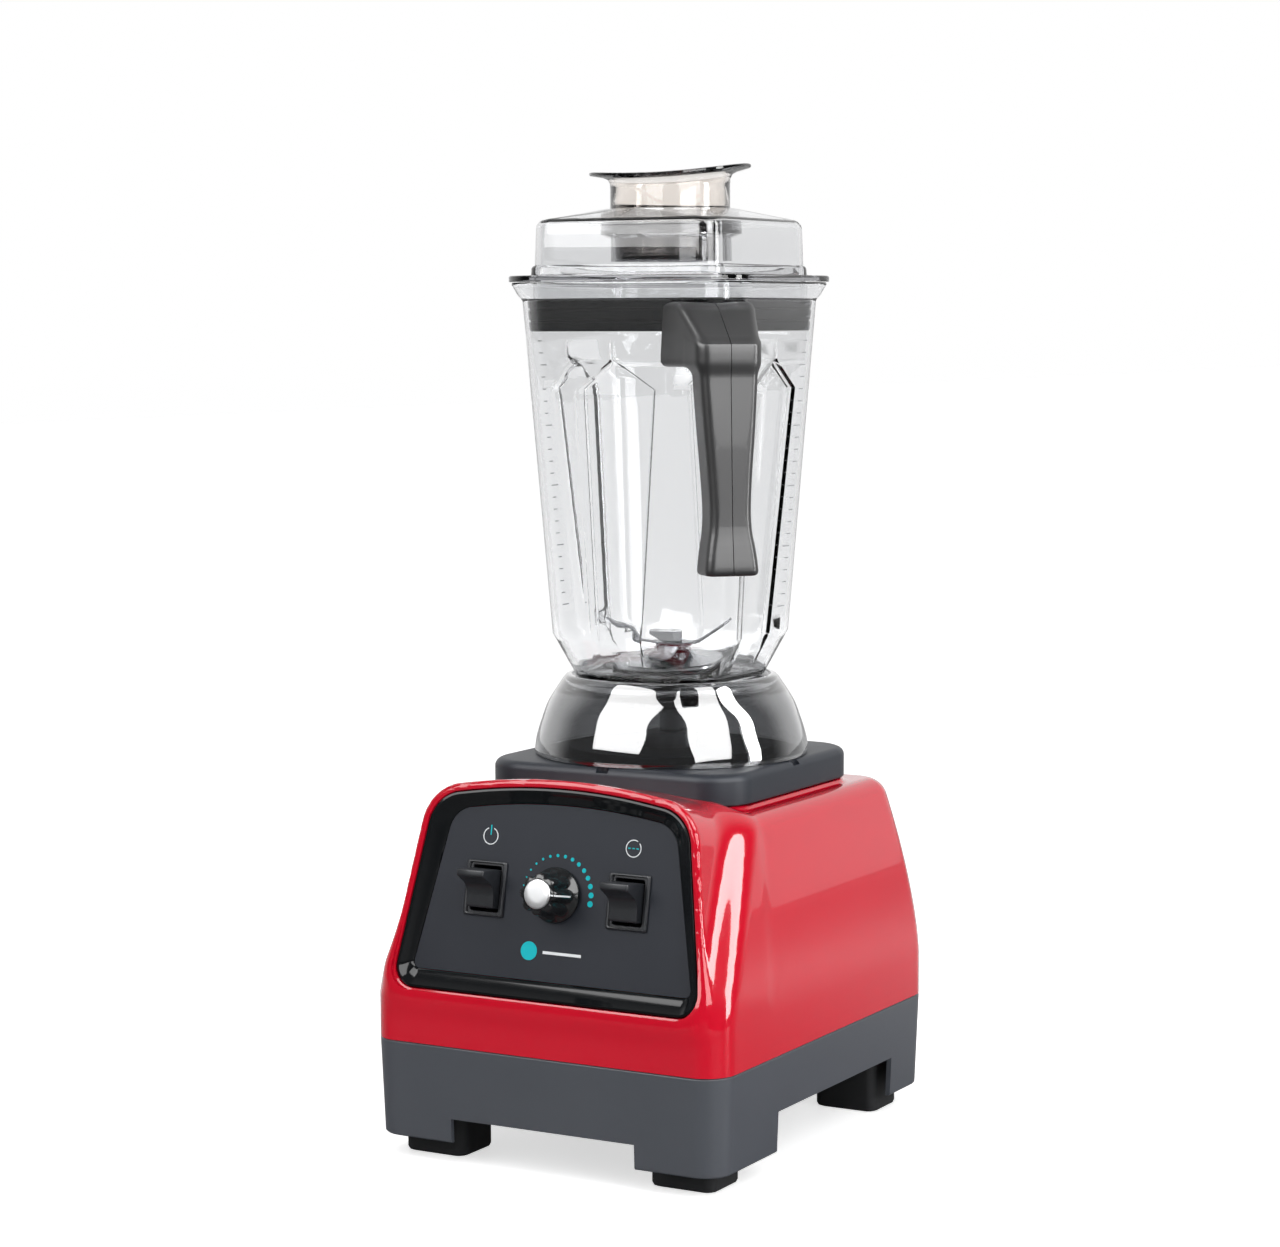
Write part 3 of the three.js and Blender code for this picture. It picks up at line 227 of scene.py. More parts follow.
def moved(shape, matrix, offset=(0, 0, 0)):
    """Turns a shape's points by the columns of a matrix, then shifts them."""
    return shape[0] @ np.array(matrix).T + offset, shape[1]


def carve(piece, *cutters, operation="DIFFERENCE", crease=35):
    """Cuts shapes out of a piece, or joins them to it, and keeps the result as its mesh."""
    tools = []
    for points, faces in cutters:
        mesh = bpy.data.meshes.new("tool")
        mesh.from_pydata((points * MM).tolist(), [], faces)
        tool = bpy.data.objects.new("tool", mesh)
        bpy.context.scene.collection.objects.link(tool)
        cut = piece.modifiers.new("cut", "BOOLEAN")
        cut.operation = operation
        cut.solver = "MANIFOLD"
        cut.object = tool
        tools.append(tool)
    bpy.context.view_layer.update()
    view = bpy.context.evaluated_depsgraph_get()
    result = bpy.data.meshes.new_from_object(piece.evaluated_get(view))
    piece.modifiers.clear()
    piece.data = result
    for tool in tools:
        bpy.data.objects.remove(tool)
    result.polygons.foreach_set("use_smooth", [True] * len(result.polygons))
    result.set_sharp_from_angle(angle=math.radians(crease))
    return piece


lower = add_piece("lower_housing_shell", loft([
    skirt_ring(SKIRT_WALL, FLOOR_BOTTOM), skirt_ring(SKIRT_WALL, SKIRT_BOTTOM),
    skirt_ring(0.9, SKIRT_BOTTOM), skirt_ring(0, SKIRT_BOTTOM + 0.9),
    skirt_ring(0, SEAM - 1.1), skirt_ring(0.8, SEAM - 0.3),
    skirt_ring(SKIRT_WALL, SEAM - 0.3), skirt_ring(SKIRT_WALL, FLOOR_TOP),
]), slate, "base", ["lower_housing"])
to_rear = ((1, 0, 0), (0, 0, 1), (0, -1, 0))
cutters = [
    block(-FRONT_ARCH_HALF, FRONT_ARCH_HALF, -BEYOND, BEYOND, 0, FRONT_ARCH_TOP),
    block(-BEYOND, BEYOND, SIDE_ARCH_FRONT, SIDE_ARCH_REAR, 0, SIDE_ARCH_TOP),
    moved(rod(GLAND_RADIUS + 0.3, -9, 9), to_rear, GLAND_SEAT),
]
for k in range(-3, 4):
    x = k * VENT_PITCH
    reach = math.sqrt(VENT_REACH ** 2 - x ** 2) - 4
    cutters.append(block(x - VENT_HALF, x + VENT_HALF, jar_y - reach, jar_y + reach, 30, 45))
cutters += [rod(SCREW_HOLE, 30, 45, x, y, 16) for x, y in SCREW_SPOTS]
carve(lower, *cutters)


# ==== Upper housing ====
# A glossy red shell that leans in on every side to a flat top. A hood runs forward from the
# pad to frame the control panel, and its sides flow back into the front in two scoops.

gloss_red = moulded("gloss_red", (0.56, 0.0025, 0.018), 0.14, 0.8, 0.0012, 0.03, coat=0.9,
                    specular=0.12)

LEAN_START, HOUSING_TOP, TOP_EDGE = 92.0, 199.0, 9.0
SIDE_LEAN, REAR_LEAN, FRONT_LEAN = 18.5, 15.0, 63.0
PLINTH_TOP, PAD_TOP = 202.0, 220.1
PAD_HALF, PAD_CORNER = 82.5, 26.7
HUB_HOLE = 21.0
PANEL_TILT = math.radians(10.9)
PANEL_FOOT, PANEL_FRONT = 90.0, -127.3
RIM_PROUD, HOOD_WALL, HOOD_END = 7.0, 5.0, -37.0
SCOOP = 16.0
BOSS_RADIUS = 6.0
# The corners of the panel opening, across and up the tilted face, with their radii.
CONTOUR = [(-98.7, 7.5, 12), (98.7, 7.5, 12), (81.5, 116.8, 22), (0, 129.5, 374),
           (-81.5, 116.8, 22)]


def offset_corners(corners, amount):
    """Moves every side of a rounded outline outwards."""
    count = len(corners)
    sides = []
    for i in range(count):
        (x0, y0, _), (x1, y1, _) = corners[i], corners[(i + 1) % count]
        size = math.hypot(x1 - x0, y1 - y0)
        nx, ny = (y1 - y0) / size, -(x1 - x0) / size
        sides.append((nx, ny, nx * x0 + ny * y0 + amount))
    moved_corners = []
    for i, (_, _, radius) in enumerate(corners):
        (a, b, c), (d, e, f) = sides[i - 1], sides[i]
        cross = a * e - b * d
        moved_corners.append(((c * e - b * f) / cross, (a * f - c * d) / cross,
                              max(radius + amount, 0.2)))
    return moved_corners


def rounded_outline(corners, segments=14):
    """Points along a closed outline whose corners are rounded by their own radius."""
    points = []
    for i, (x, y, radius) in enumerate(corners):
        here = np.array((x, y))
        before = np.array(corners[i - 1][:2]) - here
        after = np.array(corners[(i + 1) % len(corners)][:2]) - here
        before, after = before / np.linalg.norm(before), after / np.linalg.norm(after)
        half = math.acos(np.clip(before @ after, -1, 1)) / 2
        middle = (before + after) / np.linalg.norm(before + after)
        centre = here + middle * radius / math.sin(half)
        start = here + before * radius / math.tan(half) - centre
        end = here + after * radius / math.tan(half) - centre
        first = math.atan2(start[1], start[0])
        turn = (math.atan2(end[1], end[0]) - first + math.pi) % (2 * math.pi) - math.pi
        for k in range(segments + 1):
            angle = first + turn * k / segments
            points.append(centre + radius * np.array((math.cos(angle), math.sin(angle))))
    return np.array(points)


def shape_line(corners, amount):
    """An outline grown by some amount, with its corners rounded."""
    return rounded_outline(offset_corners(corners, amount))


def on_panel(points):
    """Places points given across, up and out of the tilted panel."""
    u, v, n = np.asarray(points, float).T
    sin, cos = math.sin(PANEL_TILT), math.cos(PANEL_TILT)
    return np.stack([u, PANEL_FRONT + v * sin - n * cos, PANEL_FOOT + v * cos + n * sin], -1)


def panel_loft(profile, closed=False):
    """Lofts outlines of the panel, each given with its height out of the face."""
    shape = loft([np.column_stack([line, np.full(len(line), n)]) for line, n in profile], closed)
    return on_panel(shape[0]), shape[1]


def outline_distance(u, v, outline):
    """Distance to a convex outline, negative inside."""
    ends = np.roll(outline, -1, 0)
    nearest = np.full(u.shape, 1e9)
    deepest = np.full(u.shape, -1e9)
    for (ax, ay), (bx, by) in zip(outline, ends):
        ex, ey = bx - ax, by - ay
        size = math.hypot(ex, ey)
        if size < 1e-6:
            continue
        du, dv = u - ax, v - ay
        along = np.clip((du * ex + dv * ey) / size ** 2, 0, 1)
        nearest = np.minimum(nearest, (du - along * ex) ** 2 + (dv - along * ey) ** 2)
        deepest = np.maximum(deepest, (du * ey - dv * ex) / size)
    return np.where(deepest < 0, deepest, np.sqrt(nearest))


def plan_distance(x, y, half_x, half_y, radius):
    """Distance to a rectangle with rounded corners, negative inside."""
    qx, qy = abs(x) - half_x + radius, abs(y) - half_y + radius
    outside = np.hypot(np.maximum(qx, 0), np.maximum(qy, 0))
    return outside + np.minimum(np.maximum(qx, qy), 0) - radius


def rounded_max(a, b, radius):
    """Where two solids overlap, with their shared edge rounded off."""
    outside = np.hypot(np.maximum(a + radius, 0), np.maximum(b + radius, 0))
    return outside + np.minimum(np.maximum(a, b) + radius, 0) - radius


def blended_min(a, b, reach):
    """Both solids together, with a fillet where they meet."""
    near = np.maximum(reach - abs(a - b), 0) / reach
    return np.minimum(a, b) - near ** 2 * reach / 4


hood_line = shape_line(CONTOUR, HOOD_WALL)


def lean_at(z):
    """Half width, front and rear of the leaning walls at one height."""
    climb = np.clip((z - LEAN_START) / (HOUSING_TOP - LEAN_START), 0, 1.2)
    half_x = base_high[0] - SIDE_LEAN * climb ** 1.5
    return half_x, base_low[1] + FRONT_LEAN * climb ** 1.2, base_high[1] - REAR_LEAN * climb ** 1.5


def housing_distance(points):
    """The leaning body, the hood and the pad's plinth as one flowing shape, open below."""
    x, y, z = points.T
    half_x, front, rear = lean_at(z)
    walls = plan_distance(x, y - (front + rear) / 2, half_x, (rear - front) / 2, SKIRT_CORNER)
    shape = rounded_max(walls, z - HOUSING_TOP, TOP_EDGE)
    sin, cos = math.sin(PANEL_TILT), math.cos(PANEL_TILT)
    up = (y - PANEL_FRONT) * sin + (z - PANEL_FOOT) * cos
    out = -(y - PANEL_FRONT) * cos + (z - PANEL_FOOT) * sin
    hood = np.full(x.shape, 1e3)
    close = (z > 70) & (y < -20)
    around = outline_distance(x[close], up[close], hood_line)
    thick = np.maximum(out[close] - RIM_PROUD, HOOD_END - 8 - out[close])
    hood[close] = rounded_max(around, thick, 2.4)
    shape = blended_min(shape, hood, SCOOP)
    plinth = rounded_max(plan_distance(x, y - jar_y, PAD_HALF - 1, PAD_HALF - 1, PAD_CORNER - 1),
                         z - PLINTH_TOP, 1.0)
    return np.maximum(blended_min(shape, plinth, 3), 62 - z)


def skin(distance, low, high, step):
    """Meshes the surface where a distance is zero, as points and faces."""
    counts = [4 * math.ceil((h - l) / step / 4) + 1 for l, h in zip(low, high)]
    grid = np.stack(np.meshgrid(*[l + step * np.arange(n) for l, n in zip(low, counts)],
                                indexing="ij"), -1)
    rough = distance(grid[::4, ::4, ::4].reshape(-1, 3)).reshape([(n + 3) // 4 for n in counts])
    near = [np.clip((np.arange(n) + 2) // 4, 0, r - 1) for n, r in zip(counts, rough.shape)]
    values = rough[np.ix_(*near)]
    close = abs(values) < 5 * step
    values[close] = distance(grid[close])
    inside = values < 0
    spots = [(i, j, k) for i in (0, 1) for j in (0, 1) for k in (0, 1)]

    def corner(array, spot):
        return array[tuple(slice(s, n - 1 + s) for s, n in zip(spot, counts))]

    held = sum(corner(inside, spot).astype(int) for spot in spots)
    mixed = (held > 0) & (held < 8)
    ids = np.full(held.shape, -1)
    ids[mixed] = np.arange(mixed.sum())
    total, share = np.zeros((mixed.sum(), 3)), np.zeros(mixed.sum())
    for spot in spots:
        for axis in range(3):
            if spot[axis]:
                continue
            far = tuple(s + (a == axis) for a, s in enumerate(spot))
            here, there = corner(values, spot)[mixed], corner(values, far)[mixed]
            crossed = (here < 0) != (there < 0)
            start, end = corner(grid, spot)[mixed][crossed], corner(grid, far)[mixed][crossed]
            part = (here[crossed] / (here - there)[crossed])[:, None]
            total[crossed] += start + (end - start) * part
            share[crossed] += 1
    points = total / share[:, None]
    faces = []
    for axis in range(3):
        u, v = (axis + 1) % 3, (axis + 2) % 3
        ahead = np.roll(inside, -1, axis)
        change = inside != ahead
        edge = np.argwhere(change)
        edge = edge[(edge[:, axis] < counts[axis] - 1) & (edge[:, u] > 0) & (edge[:, v] > 0)
                    & (edge[:, u] < counts[u] - 1) & (edge[:, v] < counts[v] - 1)]
        quad = []
        for du, dv in ((1, 1), (0, 1), (0, 0), (1, 0)):
            cell = edge.copy()
            cell[:, u] -= du
            cell[:, v] -= dv
            quad.append(ids[tuple(cell.T)])
        quad = np.stack(quad, -1)
        leaving = inside[tuple(edge.T)]
        faces.append(np.where(leaving[:, None], quad, quad[:, ::-1]))
    faces = np.concatenate(faces)
    # Each point is drawn onto the exact surface along the distance's slope.
    for _ in range(3):
        value = distance(points)
        slope = np.stack([distance(points + shift) - value
                          for shift in np.eye(3) * 0.02], -1) / 0.02
        points -= slope * (value / np.maximum((slope ** 2).sum(-1), 0.05))[:, None]
    return points, faces.tolist()


def hollow_ring(z, top_inset=0.0):
    """One level of the space inside the upper housing."""
    half_x, front, rear = lean_at(z)
    trim = SKIRT_WALL + top_inset
    return rounded_ring(-half_x + trim, half_x - trim, front + trim, rear - trim, 15, z, 6)


shell_points, shell_faces = skin(housing_distance, (-118, -144, 58), (118, 142, 236), 2.0)
# The skin may bulge a hair between its grid points, so the sides are held to the true width.
shell_points[:, 0] = shell_points[:, 0].clip(base_low[0], base_high[0])
upper = add_piece("upper_housing_shell", (shell_points, shell_faces), gloss_red, "base",
                  ["upper_housing"])
hollow = loft([hollow_ring(60), *[hollow_ring(z) for z in range(92, 187, 12)], hollow_ring(190),
               hollow_ring(194.5, 2.6), hollow_ring(196, 7)])
recess = panel_loft([(shape_line(CONTOUR, amount), n) for amount, n in (
    (0.3, HOOD_END + 6), (0.3, 5.6), (0.7, 6.5), (1.6, 7.0), (1.6, 40))])
pad_space = loft([
    rounded_ring(-PAD_HALF - gap, PAD_HALF + gap, jar_y - PAD_HALF - gap, jar_y + PAD_HALF + gap,
                 PAD_CORNER + gap, z, 12)
    for gap, z in ((0.3, PLINTH_TOP), (0.3, PAD_TOP - 2), (1.0, PAD_TOP - 0.6), (1.6, 260))])
carve(upper, block(-BEYOND, BEYOND, -BEYOND, BEYOND, 0, SEAM))
carve(upper, hollow)
carve(upper, recess)
carve(upper, pad_space)
carve(upper, rod(HUB_HOLE, 150, 240, 0, jar_y, 48))
# Screw bosses with a rib to the side wall stand in the corners.
bosses = []
for x, y in SCREW_SPOTS:
    wall_x = math.copysign(112, x)
    bosses.append(rod(BOSS_RADIUS, FLOOR_TOP + 0.3, SEAM + 24, x, y, 24))
    bosses.append(block(min(x, wall_x), max(x, wall_x), y - 2, y + 2, SEAM + 1, SEAM + 24))
carve(upper, *bosses, operation="UNION")
carve(upper, *[rod(SCREW_HOLE, 30, FLOOR_TOP + 24, x, y, 16) for x, y in SCREW_SPOTS])


# ==== Control panel ====
# A gloss black surround with bevelled walls sits in the hood. It frames a fine-grained charcoal
# plate that carries two rocker switches, the speed control and pad-printed marks.

gloss_black = moulded("gloss_black", (0.006, 0.007, 0.008), 0.1, 0.6, 0.001, 0.1, coat=0.25,
                      specular=0.2)
charcoal = moulded("charcoal_plate", (0.017, 0.020, 0.028), 0.45, 0.5, 0.03, 0.08, specular=0.25)
switch_plastic = moulded("switch_plastic", (0.016, 0.018, 0.022), 0.38, 0.3, 0.006, 0.08)
print_teal = moulded("teal_print", (0.0, 0.50, 0.56), 0.5, 0.1, 0.001, 0.03, specular=0.15)
print_white = moulded("white_print", (0.80, 0.83, 0.85), 0.5, 0.1, 0.001, 0.03, specular=0.15)

FACE = [(-90, 18, 4), (90, 18, 4), (71.5, 109.8, 16), (0, 120.5, 374), (-71.5, 109.8, 16)]
CONTROL_ROW = 66.5
SWITCH_ACROSS = 46.0
OPENING_HALF = (11.6, 15.1)
INK_LOW, INK_TOP = -0.05, 0.12


def between(start, end, share):
    """The value some share of the way from one to the other."""
    return start + (end - start) * share


rim_line, face_line = shape_line(CONTOUR, -2.0), shape_line(FACE, 0)
profile = [(shape_line(CONTOUR, 0), -6), (shape_line(CONTOUR, 0), 6.0),
           (shape_line(CONTOUR, -0.4), 6.5), (shape_line(CONTOUR, -1.5), 6.6), (rim_line, 6.2)]
for share, n in ((0.25, 4.4), (0.5, 2.9), (0.75, 1.6), (0.92, 0.8), (1.0, 0.2)):
    profile.append((between(rim_line, face_line, share), n))
profile.append((face_line, -6))
add_piece("gloss_surround", panel_loft(profile, closed=True), gloss_black, "base",
          ["panel_surround"], crease=40)

plate_line = shape_line(FACE, -0.3)
plate = add_piece("charcoal_panel", panel_loft([(plate_line, -3), (plate_line, 0)]), charcoal,
                  "base", ["panel_plate"])
openings = [rod(5.3, -5, 2, 0, CONTROL_ROW, 24)]
for x in (-SWITCH_ACROSS, SWITCH_ACROSS):
    openings.append(block(x - OPENING_HALF[0], x + OPENING_HALF[0], CONTROL_ROW - OPENING_HALF[1],
                          CONTROL_ROW + OPENING_HALF[1], -5, 2))
carve(plate, *[(on_panel(points), faces) for points, faces in openings])


def joined(shapes):
    """Puts several shapes into one list of points and faces."""
    points, faces, base = [], [], 0
    for shape_points, shape_faces in shapes:
        points.append(shape_points)
        faces.extend(tuple(i + base for i in face) for face in shape_faces)
        base += len(shape_points)
    return np.concatenate(points), faces


def printed(name, shapes, material):
    """Joins flat printed shapes, given in the plane of the panel, into one thin raised piece."""
    points, faces = joined(shapes)
    add_piece(name, (on_panel(points), faces), material, "base", ())


def arc_band(x, y, inner, outer, first, last, steps=40):
    """A flat curved band between two angles in degrees."""
    turns = np.radians(np.linspace(first, last, steps + 1))
    rings = [np.array([(x + r * math.cos(a), y + r * math.sin(a), n) for a in turns])
             for r, n in ((outer, INK_LOW), (outer, INK_TOP), (inner, INK_TOP), (inner, INK_LOW))]
    count = steps + 1
    faces = [(a * count + i, a * count + i + 1, b * count + i + 1, b * count + i)
             for a, b in ((0, 1), (1, 2), (2, 3), (3, 0)) for i in range(steps)]
    faces += [(0, count, 2 * count, 3 * count),
              (4 * count - 1, 3 * count - 1, 2 * count - 1, count - 1)]
    return np.concatenate(rings), faces


# Fifteen dots grow clockwise round the speed control, from slow to fast.
DOT_COUNT, DOT_CIRCLE = 15, 22
dots = []
for k in range(DOT_COUNT):
    share = k / (DOT_COUNT - 1)
    angle = math.radians(170 - 178 * share)
    dots.append(rod(0.4 + 1.3 * share ** 1.1, INK_LOW, INK_TOP, DOT_CIRCLE * math.cos(angle),
                    CONTROL_ROW + DOT_CIRCLE * math.sin(angle), 20))
ICON_UP, ICON_RADIUS = 96.0, 4.9
power_bar = block(-SWITCH_ACROSS - 0.35, -SWITCH_ACROSS + 0.35, ICON_UP + 0.6, ICON_UP + 6.2,
                  INK_LOW, INK_TOP)
dashes = [block(SWITCH_ACROSS + x - 0.75, SWITCH_ACROSS + x + 0.75, ICON_UP - 0.3, ICON_UP + 0.3,
                INK_LOW, INK_TOP) for x in (-2.6, 0, 2.6)]
printed("teal_marks", [*dots, power_bar, *dashes], print_teal)
printed("white_icons", [
    arc_band(-SWITCH_ACROSS, ICON_UP, ICON_RADIUS - 0.55, ICON_RADIUS, 112, 428),
    arc_band(SWITCH_ACROSS, ICON_UP, ICON_RADIUS - 0.5, ICON_RADIUS, 60, 400),
], print_white)

# A plain mark under the speed control: a disc and a bar, with no lettering.
printed("teal_disc", [rod(5.2, INK_LOW, INK_TOP, -14.5, 34.5, 48)], print_teal)
printed("white_bar", [block(-5.5, 19, 33.6, 35.2, INK_LOW, INK_TOP)], print_white)


# ==== Rocker switches ====
# Each switch is a stepped black frame through the plate, with a deep paddle that tilts about
# an axis level with the face. The power paddle stays put, and the pulse paddle springs back.

FRAME_HALF, MOUTH_HALF, BODY_HALF = (13.0, 15.5), (9.3, 12.8), (11.3, 14.8)
# The frame's rings from its back, up over its stepped rim and down into its mouth: which
# outline, how far out of the face, and how far inside the outline.
FRAME_STEPS = [
    (BODY_HALF, -20, 0), (BODY_HALF, 0.3, 0), (FRAME_HALF, 0.3, 0), (FRAME_HALF, 1.1, 0),
    (FRAME_HALF, 1.6, 0.35), (FRAME_HALF, 1.8, 0.9), (MOUTH_HALF, 1.8, -1.9),
    (MOUTH_HALF, 1.5, -1.5), (MOUTH_HALF, 0.6, -1.3), (MOUTH_HALF, 0.6, -0.3),
    (MOUTH_HALF, 0.3, 0), (MOUTH_HALF, -18, 0),
]
# The paddle seen from its side: up the face, out of the face, and corner radius.
PADDLE_SIDE = [
    (-10.8, -4.2, 1), (0, -9, 6), (10.8, -4.2, 1), (11.0, 2.0, 1.2), (9.9, 19.0, 1.1),
    (6.4, 19.0, 1.5), (1.0, 6.4, 9), (-10.9, 5.4, 1.5),
]


def frame_ring(half, n, trim):
    """One ring of a switch frame, at some height out of the panel."""
    return rounded_ring(-half[0] + trim, half[0] - trim, -half[1] + trim, half[1] - trim, 1.2, n, 4)


side = rounded_outline(PADDLE_SIDE, 8)
middle = side.mean(0)
paddle_rings = []
for across, trim in ((-8.8, 0.8), (-8.5, 0.25), (-8.0, 0), (8.0, 0), (8.5, 0.25), (8.8, 0.8)):
    line = middle + (side - middle) * (1 - trim / 12)
    paddle_rings.append(np.column_stack([np.full(len(line), across), line]))
for name, x in (("power", -SWITCH_ACROSS), ("pulse", SWITCH_ACROSS)):
    place = (x, CONTROL_ROW, 0)
    points, faces = loft([frame_ring(*step) for step in FRAME_STEPS])
    add_piece(f"{name}_frame", (on_panel(points + place), faces), switch_plastic, "base",
              [f"{name}_switch_frame"])
    points, faces = loft(paddle_rings)
    add_piece(f"{name}_paddle", (on_panel(points + place), faces), switch_plastic,
              f"{name}_paddle", [f"{name}_switch_paddle"])


# ==== Speed control ====
# A black knob with a thin skirt, a fluted grip and a bright domed cap. It turns on the shaft
# of a potentiometer behind the plate. A white line on the skirt points to the setting.

knob_black = moulded("knob_black", (0.009, 0.010, 0.011), 0.2, 0.4, 0.002, 0.08, coat=0.3)
brushed_cap = moulded("brushed_cap", (0.9, 0.91, 0.92), 0.34, 0.3, 0.0008, 0.02, metallic=1.0)
KNOB_FLUTES = 8


def lathe(profile, sides=64, closed=False):
    """Turns a profile of radius and height about the middle."""
    turns = [k * 2 * math.pi / sides for k in range(sides)]
    return loft([np.array([(r * math.cos(a), r * math.sin(a), z) for a in turns])
                 for r, z in profile], closed)


def fluted(radius, depth, n, sides=160):
    """A ring with hollows of the given depth between the grip's ribs."""
    ring = []
    for k in range(sides):
        angle = k * 2 * math.pi / sides
        wave = (0.5 - 0.5 * math.cos(angle * KNOB_FLUTES)) ** 2.2
        size = radius - depth * wave
        ring.append((size * math.cos(angle), size * math.sin(angle), n))
    return np.array(ring)


def on_dial(shape):
    """Places a shape on the panel at the speed control."""
    return on_panel(shape[0] + (0, CONTROL_ROW, 0)), shape[1]


grip = loft([fluted(*level) for level in (
    (6.0, 0, 0.8), (14.9, 0, 0.8), (15.5, 0, 1.2), (15.5, 0, 2.2), (14.9, 0, 2.8),
    (13.4, 0.2, 4.2), (12.8, 1.0, 5.6), (12.5, 2.0, 7.2), (12.2, 2.3, 12), (11.9, 2.3, 18.6),
    (11.4, 2.1, 20.4), (10.4, 1.4, 21.1), (8.6, 0, 21.2), (8.5, 0, 20.0), (3.3, 0, 20.0),
    (3.3, 0, 17.3), (3.3, 0, 6.2), (6.0, 0, 5.8))], closed=True)
add_piece("fluted_knob", on_dial(grip), knob_black, "knob", ["speed_knob"], crease=50)
cap = lathe([(8.2, 20.3), (8.2, 21.3), (7.9, 21.7), (7.2, 21.95), (4, 22), (0.5, 22)])
add_piece("domed_cap", on_dial(cap), brushed_cap, "knob", ["knob_cap"])
points, faces = loft([
    np.array([(x, -0.45, n), (x, 0.45, n), (x - 0.5, 0.45, n - 0.3), (x - 0.5, -0.45, n - 0.3)])
    for x, n in ((12.95, 6.8), (12.4, 18.4), (11.7, 20.7), (8.9, 21.45))])
add_piece("pointer_line", on_dial((points, faces)), print_white, "knob", ())
repaint(machined_steel, "speed_potentiometer", "control_shaft")


# ==== Motor and electrics ====
# A universal motor hangs between two brackets under the jar pad, with its fan at the foot.
# The speed board stands on the floor behind the panel, and the lead enters at the back.

copper_wire = moulded("copper_wire", (0.55, 0.2, 0.07), 0.35, 0.8, 0.15, 0.2, metallic=1.0)
board_green = moulded("board_green", (0.01, 0.09, 0.04), 0.4, 1.5, 0.02, 0.2)
inner_plastic = moulded("inner_plastic", (0.02, 0.02, 0.022), 0.5, 0.6, 0.02)
repaint(machined_steel, "lower_motor_bracket", "upper_motor_bracket", "lower_bearing",
        "upper_bearing", "motor_shaft", "motor_tie_rod_front_left", "motor_tie_rod_front_right",
        "motor_tie_rod_rear_left", "motor_tie_rod_rear_right", "drive_socket")
repaint(copper_wire, "motor_stator", "armature", "commutator", "brush_holder_left",
        "brush_holder_right")
repaint(inner_plastic, "cooling_fan", "fan_shroud")
repaint(board_green, "control_board")

gland = lathe([(3.5, -14), (GLAND_RADIUS, -14), (GLAND_RADIUS, -0.2), (10, -0.2), (10, 0.3),
               (9.4, 0.9), (8.2, 1.3), (4.2, 1.3), (3.5, 0.8)], 40, closed=True)
add_piece("lead_gland", moved(gland, to_rear, GLAND_SEAT), rubber, "base", ["cord_gland"])


# ==== Jar pad ====
# A soft slate-black pad on the plinth, with a raised ring that centres the jar's skirt. Each
# side has a small finger notch.

pad_rubber = moulded("pad_rubber", (0.016, 0.020, 0.029), 0.42, 0.5, 0.015, 0.06, specular=0.35)
PAD_BOTTOM, PAD_EDGE = 202.3, 4.6
RING_RADIUS, RING_TOP = 60, PAD_TOP + 4


def on_axis(shape):
    """Places a shape on the upright axis of motor and jar."""
    return shape[0] + (0, jar_y, 0), shape[1]


def square_ring(half, radius, z, segments=12):
    """A square with rounded corners round the axis."""
    return rounded_ring(-half, half, jar_y - half, jar_y + half, radius, z, segments)


pad_rings = [(PAD_HALF - 0.8, PAD_CORNER - 0.8, PAD_BOTTOM),
             (PAD_HALF, PAD_CORNER, PAD_BOTTOM + 0.8), (PAD_HALF, PAD_CORNER, PAD_TOP - PAD_EDGE)]
for k in range(1, 6):
    turn = k * math.pi / 10
    pad_rings.append((PAD_HALF - PAD_EDGE * (1 - math.cos(turn)),
                      PAD_CORNER - 2 * (1 - math.cos(turn)),
                      PAD_TOP - PAD_EDGE * (1 - math.sin(turn))))
pad = add_piece("soft_pad", loft([square_ring(*ring) for ring in pad_rings]), pad_rubber, "base",
                ["jar_pad"])
ring = lathe([(RING_RADIUS, PAD_TOP - 1), (RING_RADIUS, RING_TOP - 0.6),
              (RING_RADIUS - 0.6, RING_TOP), (20, RING_TOP)], 96)
carve(pad, on_axis(ring), operation="UNION")
notches = [rod(4, PAD_TOP - 3, PAD_TOP + 5, *at, 24) for at in (
    (0, jar_y - PAD_HALF + 1.5), (0, jar_y + PAD_HALF - 1.5),
    (-PAD_HALF + 1.5, jar_y), (PAD_HALF - 1.5, jar_y))]
carve(pad, rod(HUB_HOLE, 190, 240, 0, jar_y, 64), *notches)


# ==== Jar skirt and blade unit ====
# The jar screws down onto a clear smoky skirt with a ring nut. The nut's thread is on the metal
# blade housing, which passes up through the jar's floor with a seal under its flange.


def clear_plastic(name, color, roughness=0.02, density=0.0, coat=0.0):
    """A clear moulded plastic with a faint drift in its tint and polish. It darkens with depth."""
    tones = [c * 0.97 for c in color], color
    material, shader, _ = drifting(name, 14, 2, tones, (roughness * 0.5, roughness * 1.5))
    shader.inputs["Transmission Weight"].default_value = 1.0
    shader.inputs["IOR"].default_value = 1.49
    shader.inputs["Coat Weight"].default_value = coat
    shader.inputs["Coat IOR"].default_value = 1.9
    if density:
        nodes, links = material.node_tree.nodes, material.node_tree.links
        depth = add_node(nodes, "VolumeAbsorption",
                         {"Color": (0.5, 0.5, 0.52, 1), "Density": density})
        links.new(depth.outputs["Volume"], nodes["Material Output"].inputs["Volume"])
    return material


smoky = clear_plastic("smoky_plastic", (0.30, 0.305, 0.315), coat=1.0)
black_nylon = moulded("black_nylon", (0.012, 0.012, 0.013), 0.35, 0.5, 0.01, 0.1)
polished_steel = moulded("polished_steel", (0.45, 0.455, 0.465), 0.16, 0.3, 0.002, 0.05,
                         metallic=1.0)
seal_rubber = moulded("seal_rubber", (0.02, 0.02, 0.022), 0.5, 0.5, 0.02)

